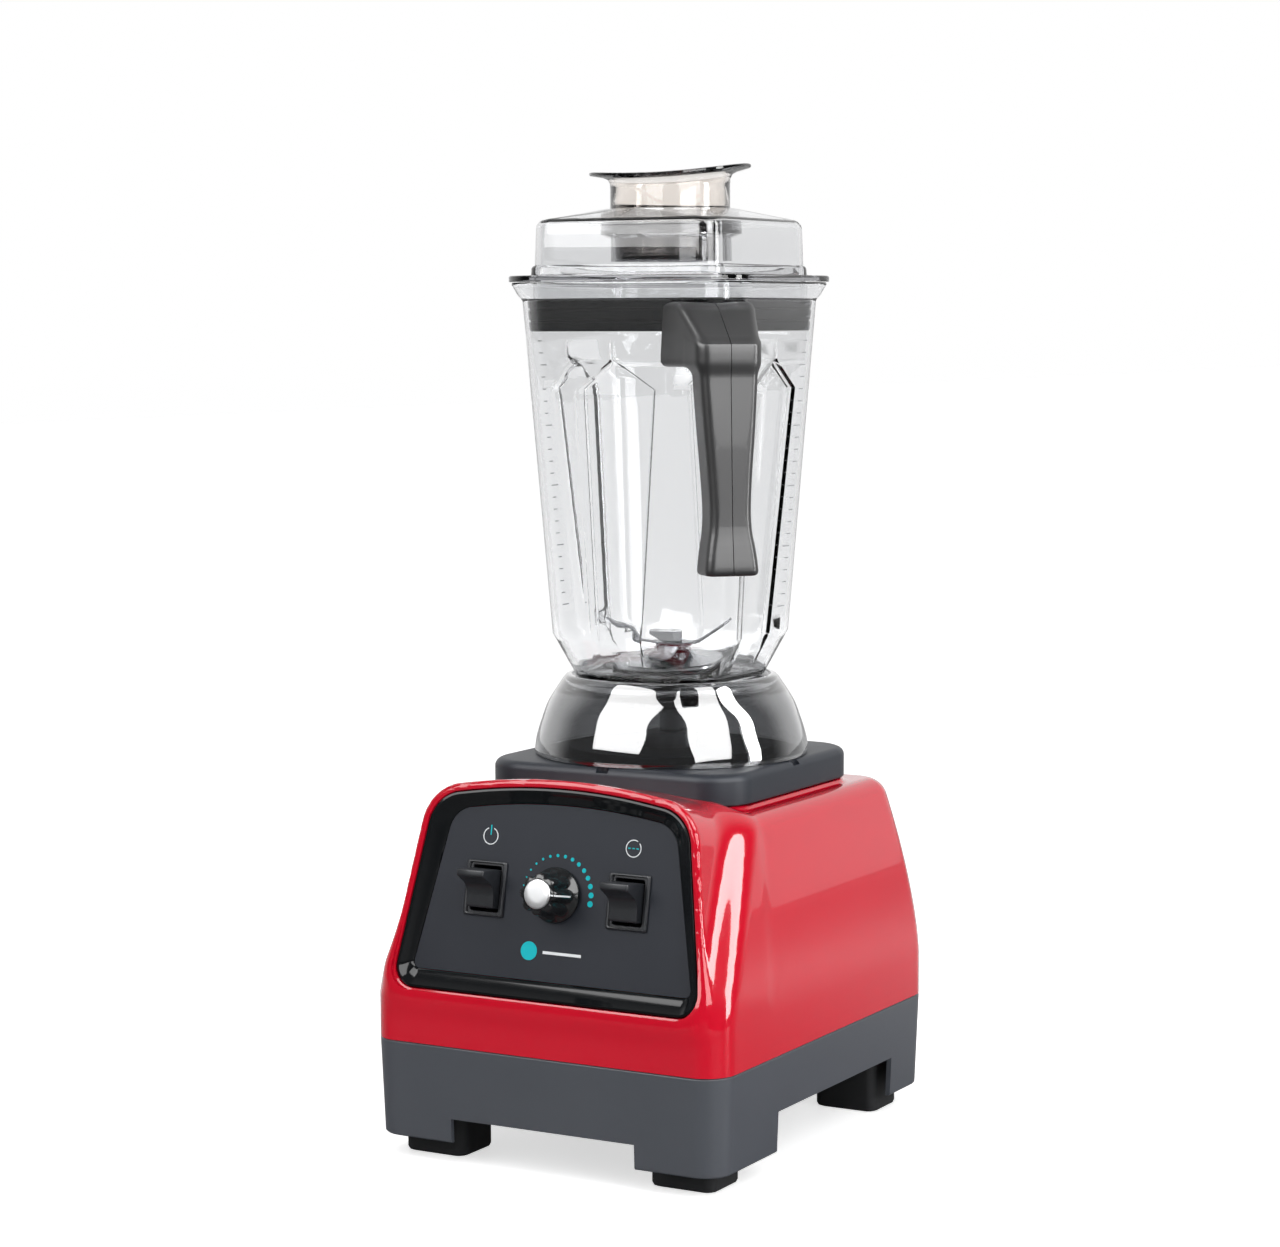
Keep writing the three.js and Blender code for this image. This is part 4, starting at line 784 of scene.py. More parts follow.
SKIRT_SHOULDER, SKIRT_FOOT, CLEAR_WALL = 61.3, 80.5, 3
NECK_HOLE, NUT_RADIUS = 25.7, 38
FIT_GAP = 0.3
skirt_low, skirt_high = (side[2] for side in box_mm("jar_skirt"))
jar_floor_z = box_mm("jar")[0][2]


def smooth_path(points, steps=6):
    """A curve through the given points, taken by rounding each span between its neighbours."""
    points = np.array(points, float)
    padded = np.concatenate([2 * points[:1] - points[1:2], points, 2 * points[-1:] - points[-2:-1]])
    path = []
    for a, b, c, d in zip(padded, padded[1:], padded[2:], padded[3:]):
        for k in range(steps):
            t = k / steps
            path.append(0.5 * (2 * b + (c - a) * t + (2 * a - 5 * b + 4 * c - d) * t ** 2
                               + (3 * b - a - 3 * c + d) * t ** 3))
    return path + [points[-1]]


rise = skirt_high - skirt_low
bell = smooth_path([(SKIRT_SHOULDER + (SKIRT_FOOT - SKIRT_SHOULDER) * share, skirt_low + rise * up)
                    for up, share in ((0, 1), (0.2, 0.93), (0.42, 0.77), (0.655, 0.55),
                                      (0.91, 0.16), (1, 0))])
seat_top = jar_floor_z - FIT_GAP
seat_radius = SKIRT_SHOULDER - CLEAR_WALL
inner_bell = [(r - CLEAR_WALL, z) for r, z in bell if z < seat_top - 5.5]
add_piece("clear_skirt", on_axis(lathe([
    (SKIRT_FOOT - 2.4, skirt_low), (SKIRT_FOOT - 0.6, skirt_low), *bell[1:-1],
    (SKIRT_SHOULDER, skirt_high - 0.4), (SKIRT_SHOULDER - 0.5, skirt_high),
    (seat_radius, skirt_high), (seat_radius, seat_top), (NECK_HOLE, seat_top),
    (NECK_HOLE, seat_top - CLEAR_WALL), (seat_radius - 1, seat_top - CLEAR_WALL),
    (seat_radius + 0.6, seat_top - CLEAR_WALL - 0.8),
    *inner_bell[::-1],
], 128, closed=True)), smoky, "jar", ["jar_skirt"], crease=45)

nut_low, nut_high = box_mm("retainer_nut")
nut = add_piece("ring_nut", on_axis(lathe([
    (NECK_HOLE, nut_low[2]), (NUT_RADIUS - 1.2, nut_low[2]), (NUT_RADIUS, nut_low[2] + 1.2),
    (NUT_RADIUS, nut_high[2] - 1), (NUT_RADIUS - 1, nut_high[2]), (NECK_HOLE, nut_high[2])
], 96, closed=True)), black_nylon, "jar", ["retainer_nut"])
carve(nut, *[rod(3, nut_low[2] - 1, nut_high[2] + 1, NUT_RADIUS * math.cos(a),
                 jar_y + NUT_RADIUS * math.sin(a), 20) for a in np.arange(8) * math.pi / 4])

seal_low, seal_high = box_mm("jar_floor_seal")
add_piece("floor_seal", on_axis(lathe([
    (NECK_HOLE, seal_low[2]), (33.2, seal_low[2]), (33.5, seal_low[2] + 0.4),
    (33.5, seal_high[2] - 0.4), (33.2, seal_high[2]), (NECK_HOLE, seal_high[2])], 96, closed=True)),
    seal_rubber, "jar", ["jar_floor_seal"])

neck_low, crown = (side[2] for side in box_mm("blade_bearing_housing"))
flange_low = seal_high[2] + FIT_GAP
add_piece("blade_housing", on_axis(lathe([
    (11.3, neck_low), (25.0, neck_low), (25.4, neck_low + 0.5), (25.4, flange_low),
    (33.6, flange_low), (34, flange_low + 0.5), (33.9, flange_low + 1.6), (33, flange_low + 2.5),
    (24, flange_low + 3.0), (18, flange_low + 3.8), (15, flange_low + 5.0), (13, crown - 0.9),
    (11.5, crown), (5.5, crown), (5.5, crown - 2), (11.3, crown - 2)], 96, closed=True)),
    polished_steel, "jar", ["blade_bearing_housing"])
repaint(polished_steel, "upper_blade_bearing", "lower_blade_bearing", "blade_shaft",
        "blade_coupling")


# ==== Blades ====
# Two pairs of pressed steel wings on one hub. The lower pair lies nearly flat and the upper
# pair sweeps up, and a dome nut holds both on the shaft.

blade_steel = moulded("ground_steel", (0.26, 0.265, 0.28), 0.22, 0.25, 0.003, 0.06, metallic=1.0)
WING_START, WING_REACH = 9.0, 42.0
WING_TURN = 0.35
BLADE_THICKNESS = 2.0
SHAFT_HOLE = 4.3


def wing(hub_z, lift, turn):
    """One wing, as thin sections along a path that bends up out of the hub."""
    rings = []
    steps = 12
    x, z = WING_START, hub_z + BLADE_THICKNESS / 2
    length = WING_REACH - WING_START
    for k in range(steps + 1):
        share = k / steps
        angle = lift * min(share * 4, 1)
        front, rear = -7 + 1.2 * share, 7 - 1.5 * share
        if share > 0.8:
            close = (share - 0.8) / 0.2
            front, rear = front + 5.5 * close ** 2, rear - 2.0 * close ** 2
        thick = BLADE_THICKNESS / 2 * (1 - 0.25 * share)
        across = [(front, 0.15), (front + 1.8, 1), (rear - 1.8, 1), (rear, 0.15),
                  (rear, -0.15), (rear - 1.8, -1), (front + 1.8, -1), (front, -0.15)]
        rings.append(np.array([(x - math.sin(angle) * thick * side, y,
                                z + math.cos(angle) * thick * side) for y, side in across]))
        x += length / steps * math.cos(angle)
        z += length / steps * math.sin(angle)
    cos, sin = math.cos(turn), math.sin(turn)
    shape = loft([ring[::-1] for ring in rings])
    return moved(shape, ((cos, -sin, 0), (sin, cos, 0), (0, 0, 1)), (0, jar_y, 0))


for name, lift, turn in (("lower", -5, WING_TURN + math.pi / 2), ("upper", 34, WING_TURN)):
    hub_z = box_mm("lower_blade")[1][2] - BLADE_THICKNESS
    if name == "upper":
        hub_z += BLADE_THICKNESS + FIT_GAP
    hub = lathe([(SHAFT_HOLE, hub_z), (11.7, hub_z), (12, hub_z + 0.3), (12, hub_z + 1.7),
                 (11.7, hub_z + 2), (SHAFT_HOLE, hub_z + 2)], 64, closed=True)
    blade = add_piece(f"{name}_wings", on_axis(hub), blade_steel, "blades", [f"{name}_blade"])
    carve(blade, *[wing(hub_z, math.radians(lift), turn + side) for side in (0, math.pi)],
          operation="UNION", crease=28)

nut_low, nut_high = (side[2] for side in box_mm("blade_nut"))
hexagon = rod(7, nut_low, nut_high, 0, jar_y, 6)
blade_nut = add_piece("hub_nut", hexagon, polished_steel, "blades", ["blade_nut"])
carve(blade_nut, rod(SHAFT_HOLE, nut_low - 1, nut_high - 1.5, 0, jar_y, 32))
bevel = blade_nut.modifiers.new("moulded_edges", "BEVEL")
bevel.width = 0.8 * MM
bevel.segments = 3
bevel.limit_method = "ANGLE"
bevel.angle_limit = math.radians(35)
bevel.harden_normals = True


# ==== Jar ====
# A square clear jar with soft corners that widens to a flared rim. A flute is pressed into each
# wall under an arrow-shaped head, and short volume marks climb two of the edges.

clear = clear_plastic("clear_plastic", (0.945, 0.95, 0.955), 0.012, density=38)
JAR_WALL, JAR_FLOOR = 2.5, 3.5
JAR_RIM = box_mm("jar")[1][2]
JAR_FOOT = jar_floor_z + 23.5
JAR_WIDEST = JAR_RIM - 10.5
FLOOR_HALF, FLOOR_CORNER = 46.4, 20.4
FOOT_HALF, WIDENING, WALL_CORNER = 58.5, 12.6, 30
TOP_HALF, TOP_CORNER = 71.1, 32
FLARE_HALF, FLARE_CORNER = 76.5, 35
FLUTE_DEPTH = 4.0
STEEP, GENTLE = 1.3, 6.0
# The steep and gentle sides of each wall's flute, for the front, right, rear and left walls.
FLUTE_FLANKS = ((GENTLE, STEEP), (GENTLE, STEEP), (GENTLE, GENTLE), (STEEP, GENTLE))
FLUTE_APEX, FLUTE_SHOULDER, FLUTE_HALF = 43.5, 60.5, 26.0
FLUTE_FOOT = (-23.0, 9.0)


def jar_section(z):
    """Half width and corner radius of the tapered wall at one height."""
    share = (z - JAR_FOOT) / (JAR_WIDEST - JAR_FOOT)
    return FOOT_HALF + WIDENING * share, between(WALL_CORNER, TOP_CORNER, share)


def jar_ring(half, corner, z, depth):
    """One level of the jar: four fluted walls joined by round corners."""
    shoulder, apex = JAR_RIM - FLUTE_SHOULDER, JAR_RIM - FLUTE_APEX
    if z >= shoulder:
        share = max((apex - z) / (apex - shoulder), 0.04)
        left, right = -FLUTE_HALF * share, FLUTE_HALF * share
    else:
        share = (shoulder - z) / (shoulder - jar_floor_z)
        left = between(-FLUTE_HALF, FLUTE_FOOT[0], share)
        right = between(FLUTE_HALF, FLUTE_FOOT[1], share)
    steps = ((0, 0), (0.12, 0.06), (0.3, 0.3), (0.7, 0.74), (0.88, 0.95), (1, 1))
    ring = []
    for wall, flanks in enumerate(FLUTE_FLANKS):
        first, last = (min(flank, (right - left) / 3) for flank in flanks)
        across = [(left + first * a, depth * d) for a, d in steps]
        across.append(((left + right) / 2, depth))
        across += [(right - last * a, depth * d) for a, d in reversed(steps)]
        cos, sin = math.cos(wall * math.pi / 2), math.sin(wall * math.pi / 2)
        spots = [(x, -half + inward) for x, inward in across]
        for k in range(13):
            angle = -math.pi / 2 + k * math.pi / 24
            spots.append((half - corner + corner * math.cos(angle),
                          -half + corner + corner * math.sin(angle)))
        ring += [(x * cos - y * sin, x * sin + y * cos, z) for x, y in spots]
    return np.array(ring)


def jar_rings(inset, floor_z):
    """The jar's wall from its floor up through the flare, drawn in by an inset."""
    rings = [jar_ring(44.5 - inset, 19.5 - inset, floor_z, 0),
             jar_ring(45.6 - inset, 20 - inset, floor_z + 0.9, 0),
             jar_ring(FLOOR_HALF - inset, FLOOR_CORNER - inset, floor_z + 2.4, 0)]
    half, corner = jar_section(JAR_FOOT + 3)
    for share, depth in ((0.3, 0), (0.6, 0.1), (0.85, 0.5), (1, 1)):
        z = between(floor_z + 2.4, JAR_FOOT + 3, share)
        rings.append(jar_ring(between(FLOOR_HALF, half, share) - inset,
                              between(FLOOR_CORNER, corner, share) - inset, z,
                              FLUTE_DEPTH * depth))
    levels = [(z, 1) for z in np.linspace(JAR_FOOT + 14, JAR_RIM - FLUTE_SHOULDER - 3, 10)]
    levels += [(JAR_RIM - FLUTE_SHOULDER, 1), (JAR_RIM - FLUTE_SHOULDER + 6, 1),
               (JAR_RIM - FLUTE_APEX - 4, 1), (JAR_RIM - FLUTE_APEX - 1.5, 0.6),
               (JAR_RIM - FLUTE_APEX, 0), (JAR_RIM - FLUTE_APEX + 12, 0), (JAR_WIDEST, 0)]
    for z, share in levels:
        half, corner = jar_section(z)
        rings.append(jar_ring(half - inset, corner - inset, z, FLUTE_DEPTH * share))
    for out, up in ((0.15, 0.14), (0.45, 0.34), (0.72, 0.62), (0.92, 0.82)):
        rings.append(jar_ring(between(TOP_HALF, FLARE_HALF, out) - inset,
                              between(TOP_CORNER, FLARE_CORNER, out) - inset,
                              between(JAR_WIDEST, JAR_RIM, up), 0))
    return rings


def round_hole(ring, radius):
    """Draws a ring in to a circle at the same height, point by point."""
    size = np.hypot(ring[:, 0], ring[:, 1])
    return np.column_stack([ring[:, 0] / size * radius, ring[:, 1] / size * radius, ring[:, 2]])


inside_floor = jar_floor_z + JAR_FLOOR
outer, inner = jar_rings(0, jar_floor_z), jar_rings(JAR_WALL, inside_floor)
lip = [jar_ring(FLARE_HALF - trim, FLARE_CORNER - trim, JAR_RIM - drop, 0)
       for trim, drop in ((0, 0.8), (0.4, 0), (2.0, 0), (2.5, 0.6))]
add_piece("clear_jar", on_axis(loft([
    round_hole(outer[0], NECK_HOLE), *outer, *lip, *inner[::-1], round_hole(inner[0], NECK_HOLE),
], closed=True)), clear, "jar", ["jar"], crease=50)


# Volume marks: short moulded ticks beside two corners, with a longer one at every fifth.
TICK_COUNT, TICK_PITCH = 26, 7.0
tick_grey = moulded("tick_grey", (0.25, 0.26, 0.27), 0.4, 0.2, 0.002, 0.05)
ticks = []
for k in range(TICK_COUNT):
    z = JAR_FOOT + 18 + k * TICK_PITCH
    half = jar_section(z)[0]
    length = 7.5 if k % 5 == 0 else 4.2
    for turn in (-math.pi / 2, math.pi / 2):
        start = half - TOP_CORNER - length
        points, faces = block(start, start + length, -half - 0.22, -half + 0.1, z - 0.25, z + 0.25)
        cos, sin = math.cos(turn), math.sin(turn)
        ticks.append(moved((points, faces), ((cos, -sin, 0), (sin, cos, 0), (0, 0, 1))))
add_piece("volume_marks", on_axis(joined(ticks)), tick_grey, "jar", ())


# ==== Handle ====
# Two satin black half shells meet on a parting line down the middle and clamp a lug on the
# jar's corner, held by two screws from the right. A wide block hugs the corner, and the grip
# hangs from it to a flared foot.

handle_black = moulded("handle_black", (0.012, 0.012, 0.013), 0.38, 0.6, 0.003, 0.1, coat=0.2,
                       specular=0.7)
HANDLE_SIDE = math.sqrt(0.5)
CORNER_REACH = (TOP_HALF - TOP_CORNER) * math.sqrt(2) + TOP_CORNER
GRIP_OUT, GRIP_BACK = CORNER_REACH + 30.5, 21.0
HANDLE_TOP, HANDLE_FOOT = JAR_RIM - 11.5, JAR_RIM - 161.5
BLOCK_FOOT = JAR_RIM - 47.5
BLOCK_BACK = CORNER_REACH - 16
PART_GAP = 0.2
SCREW_BORE, SCREW_HEAD_BORE = 2.3, 4.1
# Height below the rim, outer face past the grip line, half width behind and in front.
GRIP_LEVELS = np.array([
    (47.5, 0.6, 17.5, 16.6), (77.5, 1.8, 15.6, 14.8), (110.5, 2.8, 13, 12.2),
    (130.5, 3.5, 12, 11.3), (143, 4.2, 13.4, 12.8), (152.5, 6, 16.2, 15.2),
    (161.5, 6.2, 16.4, 15.0),
])


def handle_distance(points):
    """The grip and its block as one shape, seen along the jar's diagonal."""
    d, s, z = points.T
    drop = JAR_RIM - z
    smooth = [sum(np.interp(drop + shift, GRIP_LEVELS[:, 0], GRIP_LEVELS[:, column])
                  for shift in (-8, -4, 0, 4, 8)) / 5 for column in (1, 2, 3)]
    outer_face = GRIP_OUT + smooth[0]
    depth = np.clip((outer_face - d) / GRIP_BACK, 0, 1)
    half = smooth[2] + (smooth[1] - smooth[2]) * depth
    plan = plan_distance(d - outer_face + GRIP_BACK / 2, s, GRIP_BACK / 2, half, 4.5)
    grip = rounded_max(plan, HANDLE_FOOT - z, 2.5)
    grip = np.maximum(grip, z - BLOCK_FOOT - 12)
    sides = abs(s) - np.interp(d, (BLOCK_BACK, GRIP_OUT), (26.6, 17.2))
    slope = ((d - CORNER_REACH - 6) * 20 + (z - JAR_RIM + 13.5) * 24.5) / 31.6
    top = rounded_max(z - HANDLE_TOP, slope, 5)
    fixing = rounded_max(rounded_max(sides, d - GRIP_OUT - 0.3, 6), top, 4)
    fixing = rounded_max(fixing, BLOCK_FOOT - z, 3)
    fixing = np.maximum(fixing, BLOCK_BACK - d)
    return blended_min(grip, fixing, 6)


handle_skin = skin(handle_distance, (68, -30, 328), (128, 30, 486), 1.3)
turn_out = ((HANDLE_SIDE, HANDLE_SIDE, 0), (-HANDLE_SIDE, HANDLE_SIDE, 0), (0, 0, 1))


def on_handle(shape):
    """Turns a shape out to the corner of the jar that carries the handle."""
    return moved(shape, turn_out, (0, jar_y, 0))


def across_handle(radius, d, z, low, high):
    """A rod from side to side through the handle."""
    return moved(rod(radius, low, high), to_rear, (d, 0, z))


jar_room = [jar_ring(half + FIT_GAP, corner, z, 0) for half, corner, z in (
    (*jar_section(JAR_FOOT + 100), JAR_FOOT + 100), (*jar_section(JAR_WIDEST), JAR_WIDEST),
    (FLARE_HALF, FLARE_CORNER, JAR_RIM + 1))]
lug_z = (JAR_RIM - 41.5, JAR_RIM - 23.5)
upper_screw = (CORNER_REACH + 2.5, (lug_z[0] + lug_z[1]) / 2, 16.6)
lower_screw = (CORNER_REACH + 26.5, HANDLE_FOOT + 20, 6.0)
for name, side in (("right", 1), ("left", -1)):
    shell = add_piece(f"handle_{name}_half", on_handle(handle_skin), handle_black, "jar",
                      [f"handle_{name}_shell"])
    edge = PART_GAP * side
    carve(shell, on_handle(block(0, 200, min(edge, -side * 60), max(edge, -side * 60), 300, 500)))
    carve(shell, on_axis(loft(jar_room)))
    carve(shell, on_handle(block(BLOCK_BACK - 5, CORNER_REACH + 7.3, -4.3, 4.3,
                                 lug_z[0] - FIT_GAP, lug_z[1] + FIT_GAP)))
    for d, z, seat in (upper_screw, lower_screw):
        carve(shell, on_handle(across_handle(SCREW_BORE, d, z, -10, seat + 1)))
        if side > 0:
            carve(shell, on_handle(across_handle(SCREW_HEAD_BORE, d, z, seat, 40)))
add_piece("jar_lug", on_handle(block(BLOCK_BACK + 2, CORNER_REACH + 7, -4, 4, *lug_z)), clear,
          "jar", ())
repaint(machined_steel, "handle_screw_upper", "handle_screw_lower")


# ==== Lid ====
# A clear square lid with a flat flange, a domed top and an insert that carries the rubber
# gasket. A funnel and collar in the middle take the plug.

lid_clear = clear_plastic("lid_plastic", (0.955, 0.96, 0.965), 0.012, density=45)
smoky_collar = clear_plastic("collar_plastic", (0.36, 0.36, 0.37), 0.03)
gasket_black = moulded("gasket_black", (0.003, 0.0035, 0.004), 0.45, 0.5, 0.01, 0.1, specular=0.04)
LID_BASE = JAR_RIM + FIT_GAP
LID_CROWN = LID_BASE + 44
FLANGE_TOP = LID_BASE + 3.5
LID_HALF, LID_CORNER = 77.6, 35
FUNNEL, COLLAR = 37.6, 31.5
COLLAR_FOOT, FUNNEL_FOOT = LID_CROWN - 32.5, LID_CROWN - 16
DOME_HALF, DOME_CORNER, DOME_EDGE, DOME_SPHERE = 59.8, 12.0, 4, 338.0
LID_WALL = 2.5
FUNNEL_OUT = FUNNEL + LID_WALL
INSERT_HALF, INSERT_CORNER = 65.35, 27.5
INSERT_FOOT = LID_BASE - 28
GASKET_HEIGHT = 17.5


def crowned(half, radius, z, domed=False):
    """A square ring with round corners, whose points can lie on the lid's crowned top."""
    ring = square_ring(half, min(radius, half), z, 16) - (0, jar_y, 0)
    if domed:
        reach = ring[:, 0] ** 2 + ring[:, 1] ** 2
        ring[:, 2] -= DOME_SPHERE - np.sqrt(DOME_SPHERE ** 2 - reach)
    return ring


def dome_round(trim):
    """The rounded edge between the dome's wall and its crown, at some depth inside."""
    rings = []
    for k in range(7):
        turn = k / 6 * math.pi / 2
        inset = DOME_EDGE - (DOME_EDGE - trim) * math.sin(turn)
        rings.append(crowned(DOME_HALF - inset, DOME_CORNER - inset * 0.8,
                             LID_CROWN - DOME_EDGE + (DOME_EDGE - trim) * math.cos(turn), True))
    return rings


# From the funnel's mouth out over the dome, the flange and the insert, and back up inside.
lid_rings = [crowned(FUNNEL_OUT, FUNNEL_OUT, LID_CROWN - 0.4, True),
             crowned(FUNNEL_OUT + 0.4, FUNNEL_OUT + 0.4, LID_CROWN, True), *dome_round(0)]
lid_rings += [crowned(DOME_HALF + out, DOME_CORNER, FLANGE_TOP + up) for out, up in (
    (0.6, 6), (1.6, 5.2), (2.0, 4.2), (2.2, 0.6), (2.8, 0))]
lid_rings += [crowned(LID_HALF - trim, LID_CORNER - trim, z) for trim, z in (
    (0.6, FLANGE_TOP), (0, FLANGE_TOP - 0.6), (0, LID_BASE + 0.6), (0.6, LID_BASE))]
lid_rings += [crowned(INSERT_HALF - trim, INSERT_CORNER - trim, z) for trim, z in (
    (0, LID_BASE), (0, INSERT_FOOT + 0.5), (0.5, INSERT_FOOT), (LID_WALL, INSERT_FOOT),
    (LID_WALL, LID_BASE + 1))]
lid_rings += [crowned(DOME_HALF - LID_WALL, DOME_CORNER - LID_WALL, LID_BASE + 1),
              *dome_round(LID_WALL)[::-1],
              crowned(FUNNEL_OUT, FUNNEL_OUT, LID_CROWN - LID_WALL, True)]
add_piece("clear_lid", on_axis(loft(lid_rings[::-1], closed=True)), lid_clear, "lid",
          ["lid_cover"], crease=40)

funnel_rings = [crowned(radius, radius, z, z == LID_CROWN) for radius, z in (
    (COLLAR, COLLAR_FOOT), (COLLAR, FUNNEL_FOOT - 1), (FUNNEL, FUNNEL_FOOT + 1),
    (FUNNEL, LID_CROWN), (FUNNEL_OUT - 0.05, LID_CROWN), (FUNNEL_OUT - 0.05, FUNNEL_FOOT - 1),
    (COLLAR + LID_WALL, FUNNEL_FOOT - 3.5), (COLLAR + LID_WALL, COLLAR_FOOT))]
add_piece("smoky_funnel", on_axis(loft(funnel_rings[::-1], closed=True)), smoky_collar, "lid", (),
          crease=40)

# The gasket follows the jar's taper and has two grooves round its outside.
gasket_rings = []
for up, trim in ((0, 0.5), (0.6, 0), (5, 0), (5.3, 0.7), (6.3, 0.7), (6.6, 0), (12, 0),
                 (12.3, 0.7), (13.3, 0.7), (13.6, 0), (GASKET_HEIGHT - 0.6, 0),
                 (GASKET_HEIGHT, 0.5)):
    z = INSERT_FOOT + up
    half, corner = jar_section(z)
    gasket_rings.append(crowned(half - JAR_WALL - FIT_GAP - trim, corner - JAR_WALL - FIT_GAP, z))
for up in (GASKET_HEIGHT, 0):
    gasket_rings.append(crowned(INSERT_HALF + FIT_GAP, INSERT_CORNER + FIT_GAP, INSERT_FOOT + up))
add_piece("ribbed_gasket", on_axis(loft(gasket_rings, closed=True)), gasket_black, "lid",
          ["lid_gasket"])


# ==== Plug ====
# A faintly amber cup that drops into the lid's collar. Its flange rises and falls round the
# rim and stands highest on one side, which is the finger grip.

amber = clear_plastic("amber_plastic", (0.955, 0.92, 0.885), 0.015, density=40)
PLUG, PLUG_FOOT, PLUG_WALL = 34.7, 30.9, 2.4
PLUG_TOP = LID_CROWN + 16
PLUG_FLANGE = 46.8
WAVE, WAVE_LEAN, WAVE_TURN = 1.9, 2.3, math.radians(22)


def wave_ring(radius, z, share):
    """A circle that takes up some share of the rim's rise and fall."""
    turns = np.arange(120) * 2 * math.pi / 120
    return np.column_stack([radius * np.cos(turns), radius * np.sin(turns),
                            z + share * (WAVE * np.cos(2 * (turns - WAVE_TURN))
                                         + WAVE_LEAN * np.cos(turns - WAVE_TURN))])


plug_low = COLLAR_FOOT + 1
shoulder = FUNNEL_FOOT + 1.3
plug_rings = [wave_ring(*level) for level in (
    (PLUG_FOOT - 0.8, plug_low, 0), (PLUG_FOOT, plug_low + 0.8, 0), (PLUG_FOOT, shoulder - 1, 0),
    (PLUG, shoulder + 1, 0), (PLUG, PLUG_TOP - 6, 0.45), (PLUG + 0.3, PLUG_TOP - 3, 0.6),
    (PLUG + 1.4, PLUG_TOP - 1, 0.7), (PLUG + 4, PLUG_TOP + 0.2, 0.8),
    (PLUG_FLANGE - 0.5, PLUG_TOP + 1.5, 1), (PLUG_FLANGE, PLUG_TOP + 2, 1),
    (PLUG_FLANGE, PLUG_TOP + 3, 1), (PLUG_FLANGE - 0.5, PLUG_TOP + 3.4, 1),
    (PLUG + 3, PLUG_TOP + 2.3, 0.78), (PLUG - 0.6, PLUG_TOP + 1.2, 0.7),
    (PLUG - PLUG_WALL, PLUG_TOP - 1.5, 0.6), (PLUG - PLUG_WALL, shoulder + 3.5, 0),
    (PLUG_FOOT - PLUG_WALL, shoulder + 1.5, 0),
    (PLUG_FOOT - PLUG_WALL, plug_low + PLUG_WALL + 0.8, 0),
    (PLUG_FOOT - PLUG_WALL - 0.8, plug_low + PLUG_WALL, 0))]
add_piece("amber_plug", on_axis(loft(plug_rings)), amber, "plug", ["lid_plug"],
          crease=45)


# ==== Floor, light and camera ====
# A pale table top runs off into a white room. Three soft panels show only in reflections and
# through clear pieces, and three others light only the matte surfaces.

floor_mesh = bpy.data.meshes.new("floor")
floor_mesh.from_pydata([(-9, -9, 0), (9, -9, 0), (9, 40, 0), (-9, 40, 0)], [], [(0, 1, 2, 3)])
floor = bpy.data.objects.new("floor", floor_mesh)
bpy.context.scene.collection.objects.link(floor)
pale = moulded("pale_floor", (0.9, 0.9, 0.9), 0.5, 3, 0.001, 0.01, specular=0.15)
nodes, links = pale.node_tree.nodes, pale.node_tree.links
pale_shader = nodes["Principled BSDF"]
pale_shader.inputs["Emission Color"].default_value = (1, 1, 1, 1)
ray = add_node(nodes, "LightPath")
# The floor glows faintly where it is seen directly or through clear pieces.
either = add_node(nodes, "Math", operation="MAXIMUM")
lift = add_node(nodes, "Math", {1: 0.62}, operation="MULTIPLY")
links.new(ray.outputs["Is Camera Ray"], either.inputs[0])
links.new(ray.outputs["Is Transmission Ray"], either.inputs[1])
links.new(either.outputs["Value"], lift.inputs[0])
links.new(lift.outputs["Value"], pale_shader.inputs["Emission Strength"])
# Painted shade in reflections: for mirror-like rays the floor's colour is darkened in front of the
# object, and the floor behind stays pale.
spot = add_node(nodes, "TexCoord")
depth = add_node(nodes, "VectorMath", {1: (-0.489, 0.867, 0)}, operation="DOT_PRODUCT")
shade = add_node(nodes, "MapRange", {"From Min": -0.1, "From Max": 0.6},
                 interpolation_type="SMOOTHSTEP")
plain = add_node(nodes, "Math", {0: 1.0}, operation="SUBTRACT")
mixed = add_node(nodes, "Math", operation="MAXIMUM")
# Painted shade: this mix swaps the floor's pale colour for near black, for mirror rays only.
mirror_floor_shade = add_node(nodes, "Mix", {"A": (0.12, 0.12, 0.12, 1)}, data_type="RGBA")
links.new(spot.outputs["Object"], depth.inputs[0])
links.new(depth.outputs["Value"], shade.inputs["Value"])
links.new(ray.outputs["Is Glossy Ray"], plain.inputs[1])
links.new(shade.outputs["Result"], mixed.inputs[0])
links.new(plain.outputs["Value"], mixed.inputs[1])
links.new(mixed.outputs["Value"], mirror_floor_shade.inputs["Factor"])
links.new(pale_shader.inputs["Base Color"].links[0].from_socket, mirror_floor_shade.inputs["B"])
links.new(mirror_floor_shade.outputs["Result"], pale_shader.inputs["Base Color"])
floor_mesh.materials.append(pale)

world = bpy.data.worlds.new("studio")
bpy.context.scene.world = world
world.use_nodes = True
nodes, links = world.node_tree.nodes, world.node_tree.links
ray = add_node(nodes, "LightPath")
place = add_node(nodes, "TexCoord")
behind = add_node(nodes, "VectorMath", {1: (-0.489, 0.867, 0.1)}, operation="DOT_PRODUCT")
backdrop = add_node(nodes, "MapRange",
                    {"From Min": 0.1, "From Max": 0.6, "To Min": 0.1, "To Max": 0.95},
                    interpolation_type="SMOOTHSTEP")
mirrored = add_node(nodes, "Math", {1: 0.5}, operation="GREATER_THAN")
links.new(place.outputs["Generated"], behind.inputs[0])
links.new(behind.outputs["Value"], backdrop.inputs["Value"])
links.new(ray.outputs["Glossy Depth"], mirrored.inputs[0])
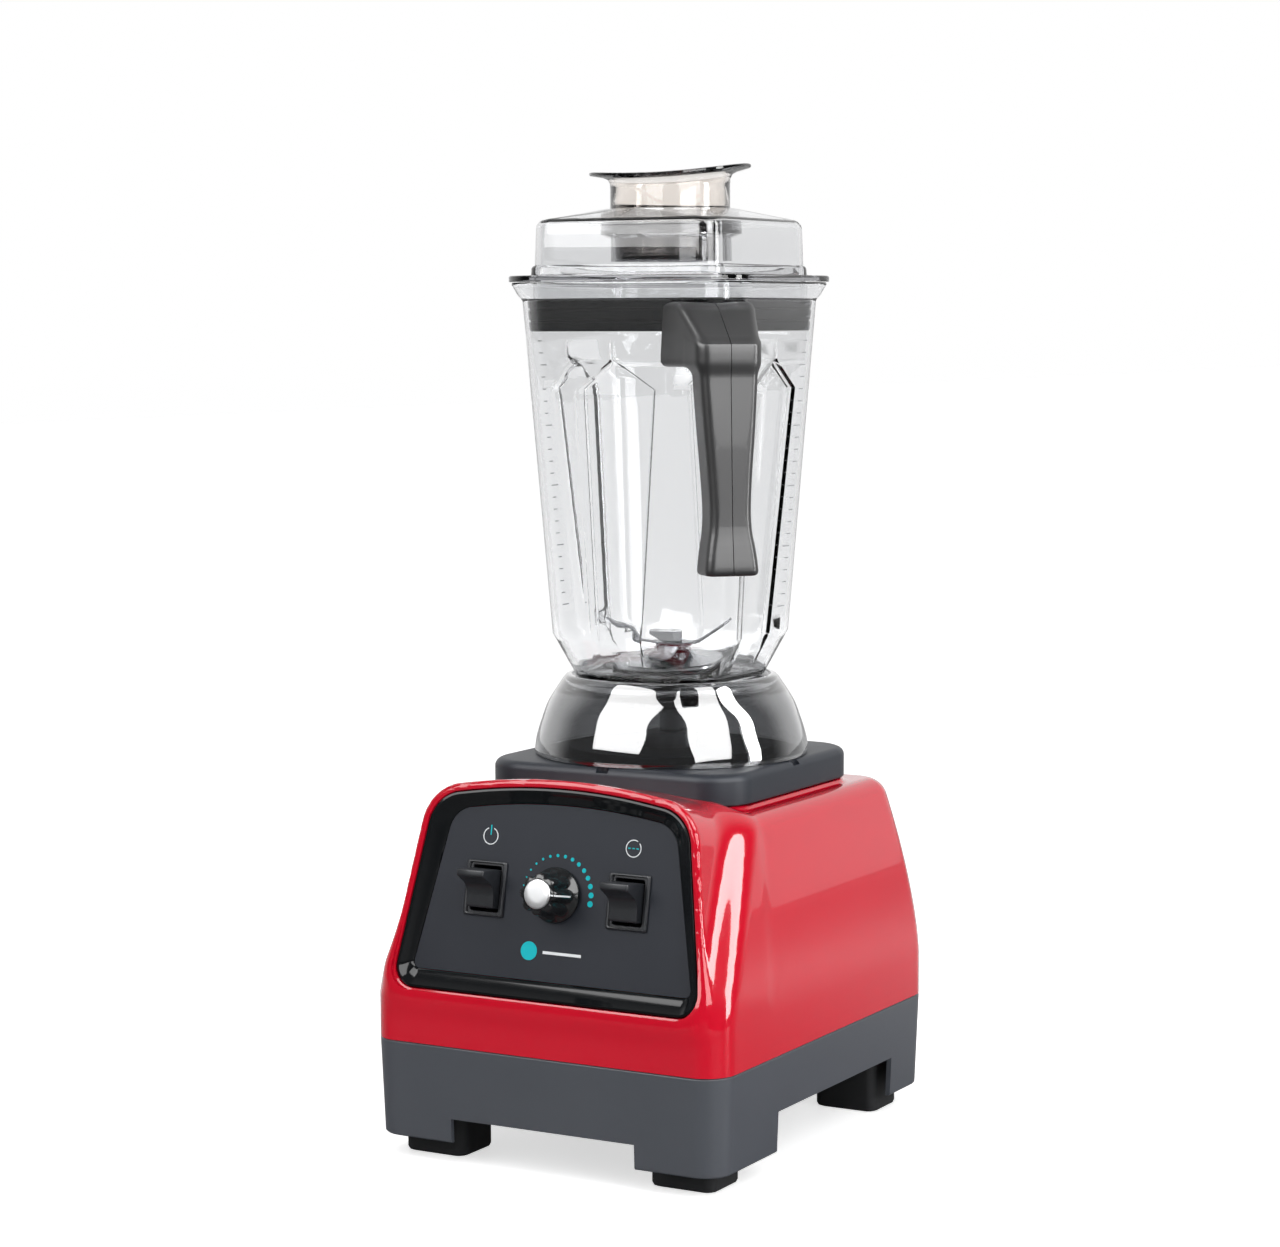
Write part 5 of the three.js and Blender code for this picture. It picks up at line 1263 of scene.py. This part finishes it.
# Matte surfaces see a grey sky and clear pieces let a near white one through. Mirror-like rays
# see a dark room with a bright backdrop, and the camera sees plain white.
grey, near_white, white = ((v, v, v, 1) for v in (0.42, 0.95, 1.0))
through = add_node(nodes, "Mix", {"A": grey, "B": near_white}, data_type="RGBA")
mirror = add_node(nodes, "Mix", data_type="RGBA")
direct = add_node(nodes, "Mix", {"B": white}, data_type="RGBA")
links.new(ray.outputs["Is Transmission Ray"], through.inputs["Factor"])
links.new(mirrored.outputs["Value"], mirror.inputs["Factor"])
links.new(through.outputs["Result"], mirror.inputs["A"])
links.new(backdrop.outputs["Result"], mirror.inputs["B"])
links.new(ray.outputs["Is Camera Ray"], direct.inputs["Factor"])
links.new(mirror.outputs["Result"], direct.inputs["A"])
links.new(direct.outputs["Result"], nodes["Background"].inputs["Color"])


def soft_panel(name, azimuth, elevation, distance, width, height, brightness, mirror_only):
    """A soft panel seen from the object at an azimuth from the front and an elevation."""
    light = bpy.data.lights.new(name, "AREA")
    light.shape = "RECTANGLE"
    light.size, light.size_y = width, height
    light.energy = brightness * math.pi * width * height
    panel = bpy.data.objects.new(name, light)
    bpy.context.scene.collection.objects.link(panel)
    turn, rise = math.radians(azimuth), math.radians(elevation)
    toward = Vector((math.sin(turn) * math.cos(rise), -math.cos(turn) * math.cos(rise),
                     math.sin(rise)))
    panel.location = Vector((0, 0, 0.25)) + toward * distance
    panel.rotation_euler = toward.to_track_quat("Z", "Y").to_euler()
    panel.visible_camera = False
    panel.visible_transmission = mirror_only
    panel.visible_diffuse = not mirror_only
    panel.visible_glossy = mirror_only


for name, azimuth, elevation, distance, width, height, brightness, mirror_only in (
        ("left_glow", -20, 38, 1.8, 1.5, 1.6, 6.0, True),
        ("right_glow", 64, 34, 1.9, 1.2, 2.1, 6.0, True),
        ("edge_glow", 103, 25, 1.9, 0.42, 2.0, 13.0, True),
        ("left_light", -35, 35, 1.9, 1.6, 1.6, 1.35, False),
        ("right_light", 76, 30, 1.9, 1.4, 1.8, 3.4, False),
        ("top_light", 0, 88, 1.9, 1.8, 1.8, 1.2, False)):
    soft_panel(name, azimuth, elevation, distance, width, height, brightness, mirror_only)

camera_data = bpy.data.cameras.new("camera")
camera_data.sensor_width = 36
camera_data.lens = 89.46
camera = bpy.data.objects.new("camera", camera_data)
bpy.context.scene.collection.objects.link(camera)
camera.matrix_world = Matrix((
    (0.87129, -0.04360, 0.48883, 0.89437),
    (0.49076, 0.08408, -0.86723, -1.60635),
    (-0.00329, 0.99550, 0.09465, 0.47160),
    (0, 0, 0, 1),
))
bpy.context.scene.camera = camera
bpy.context.scene.view_settings.view_transform = "Standard"
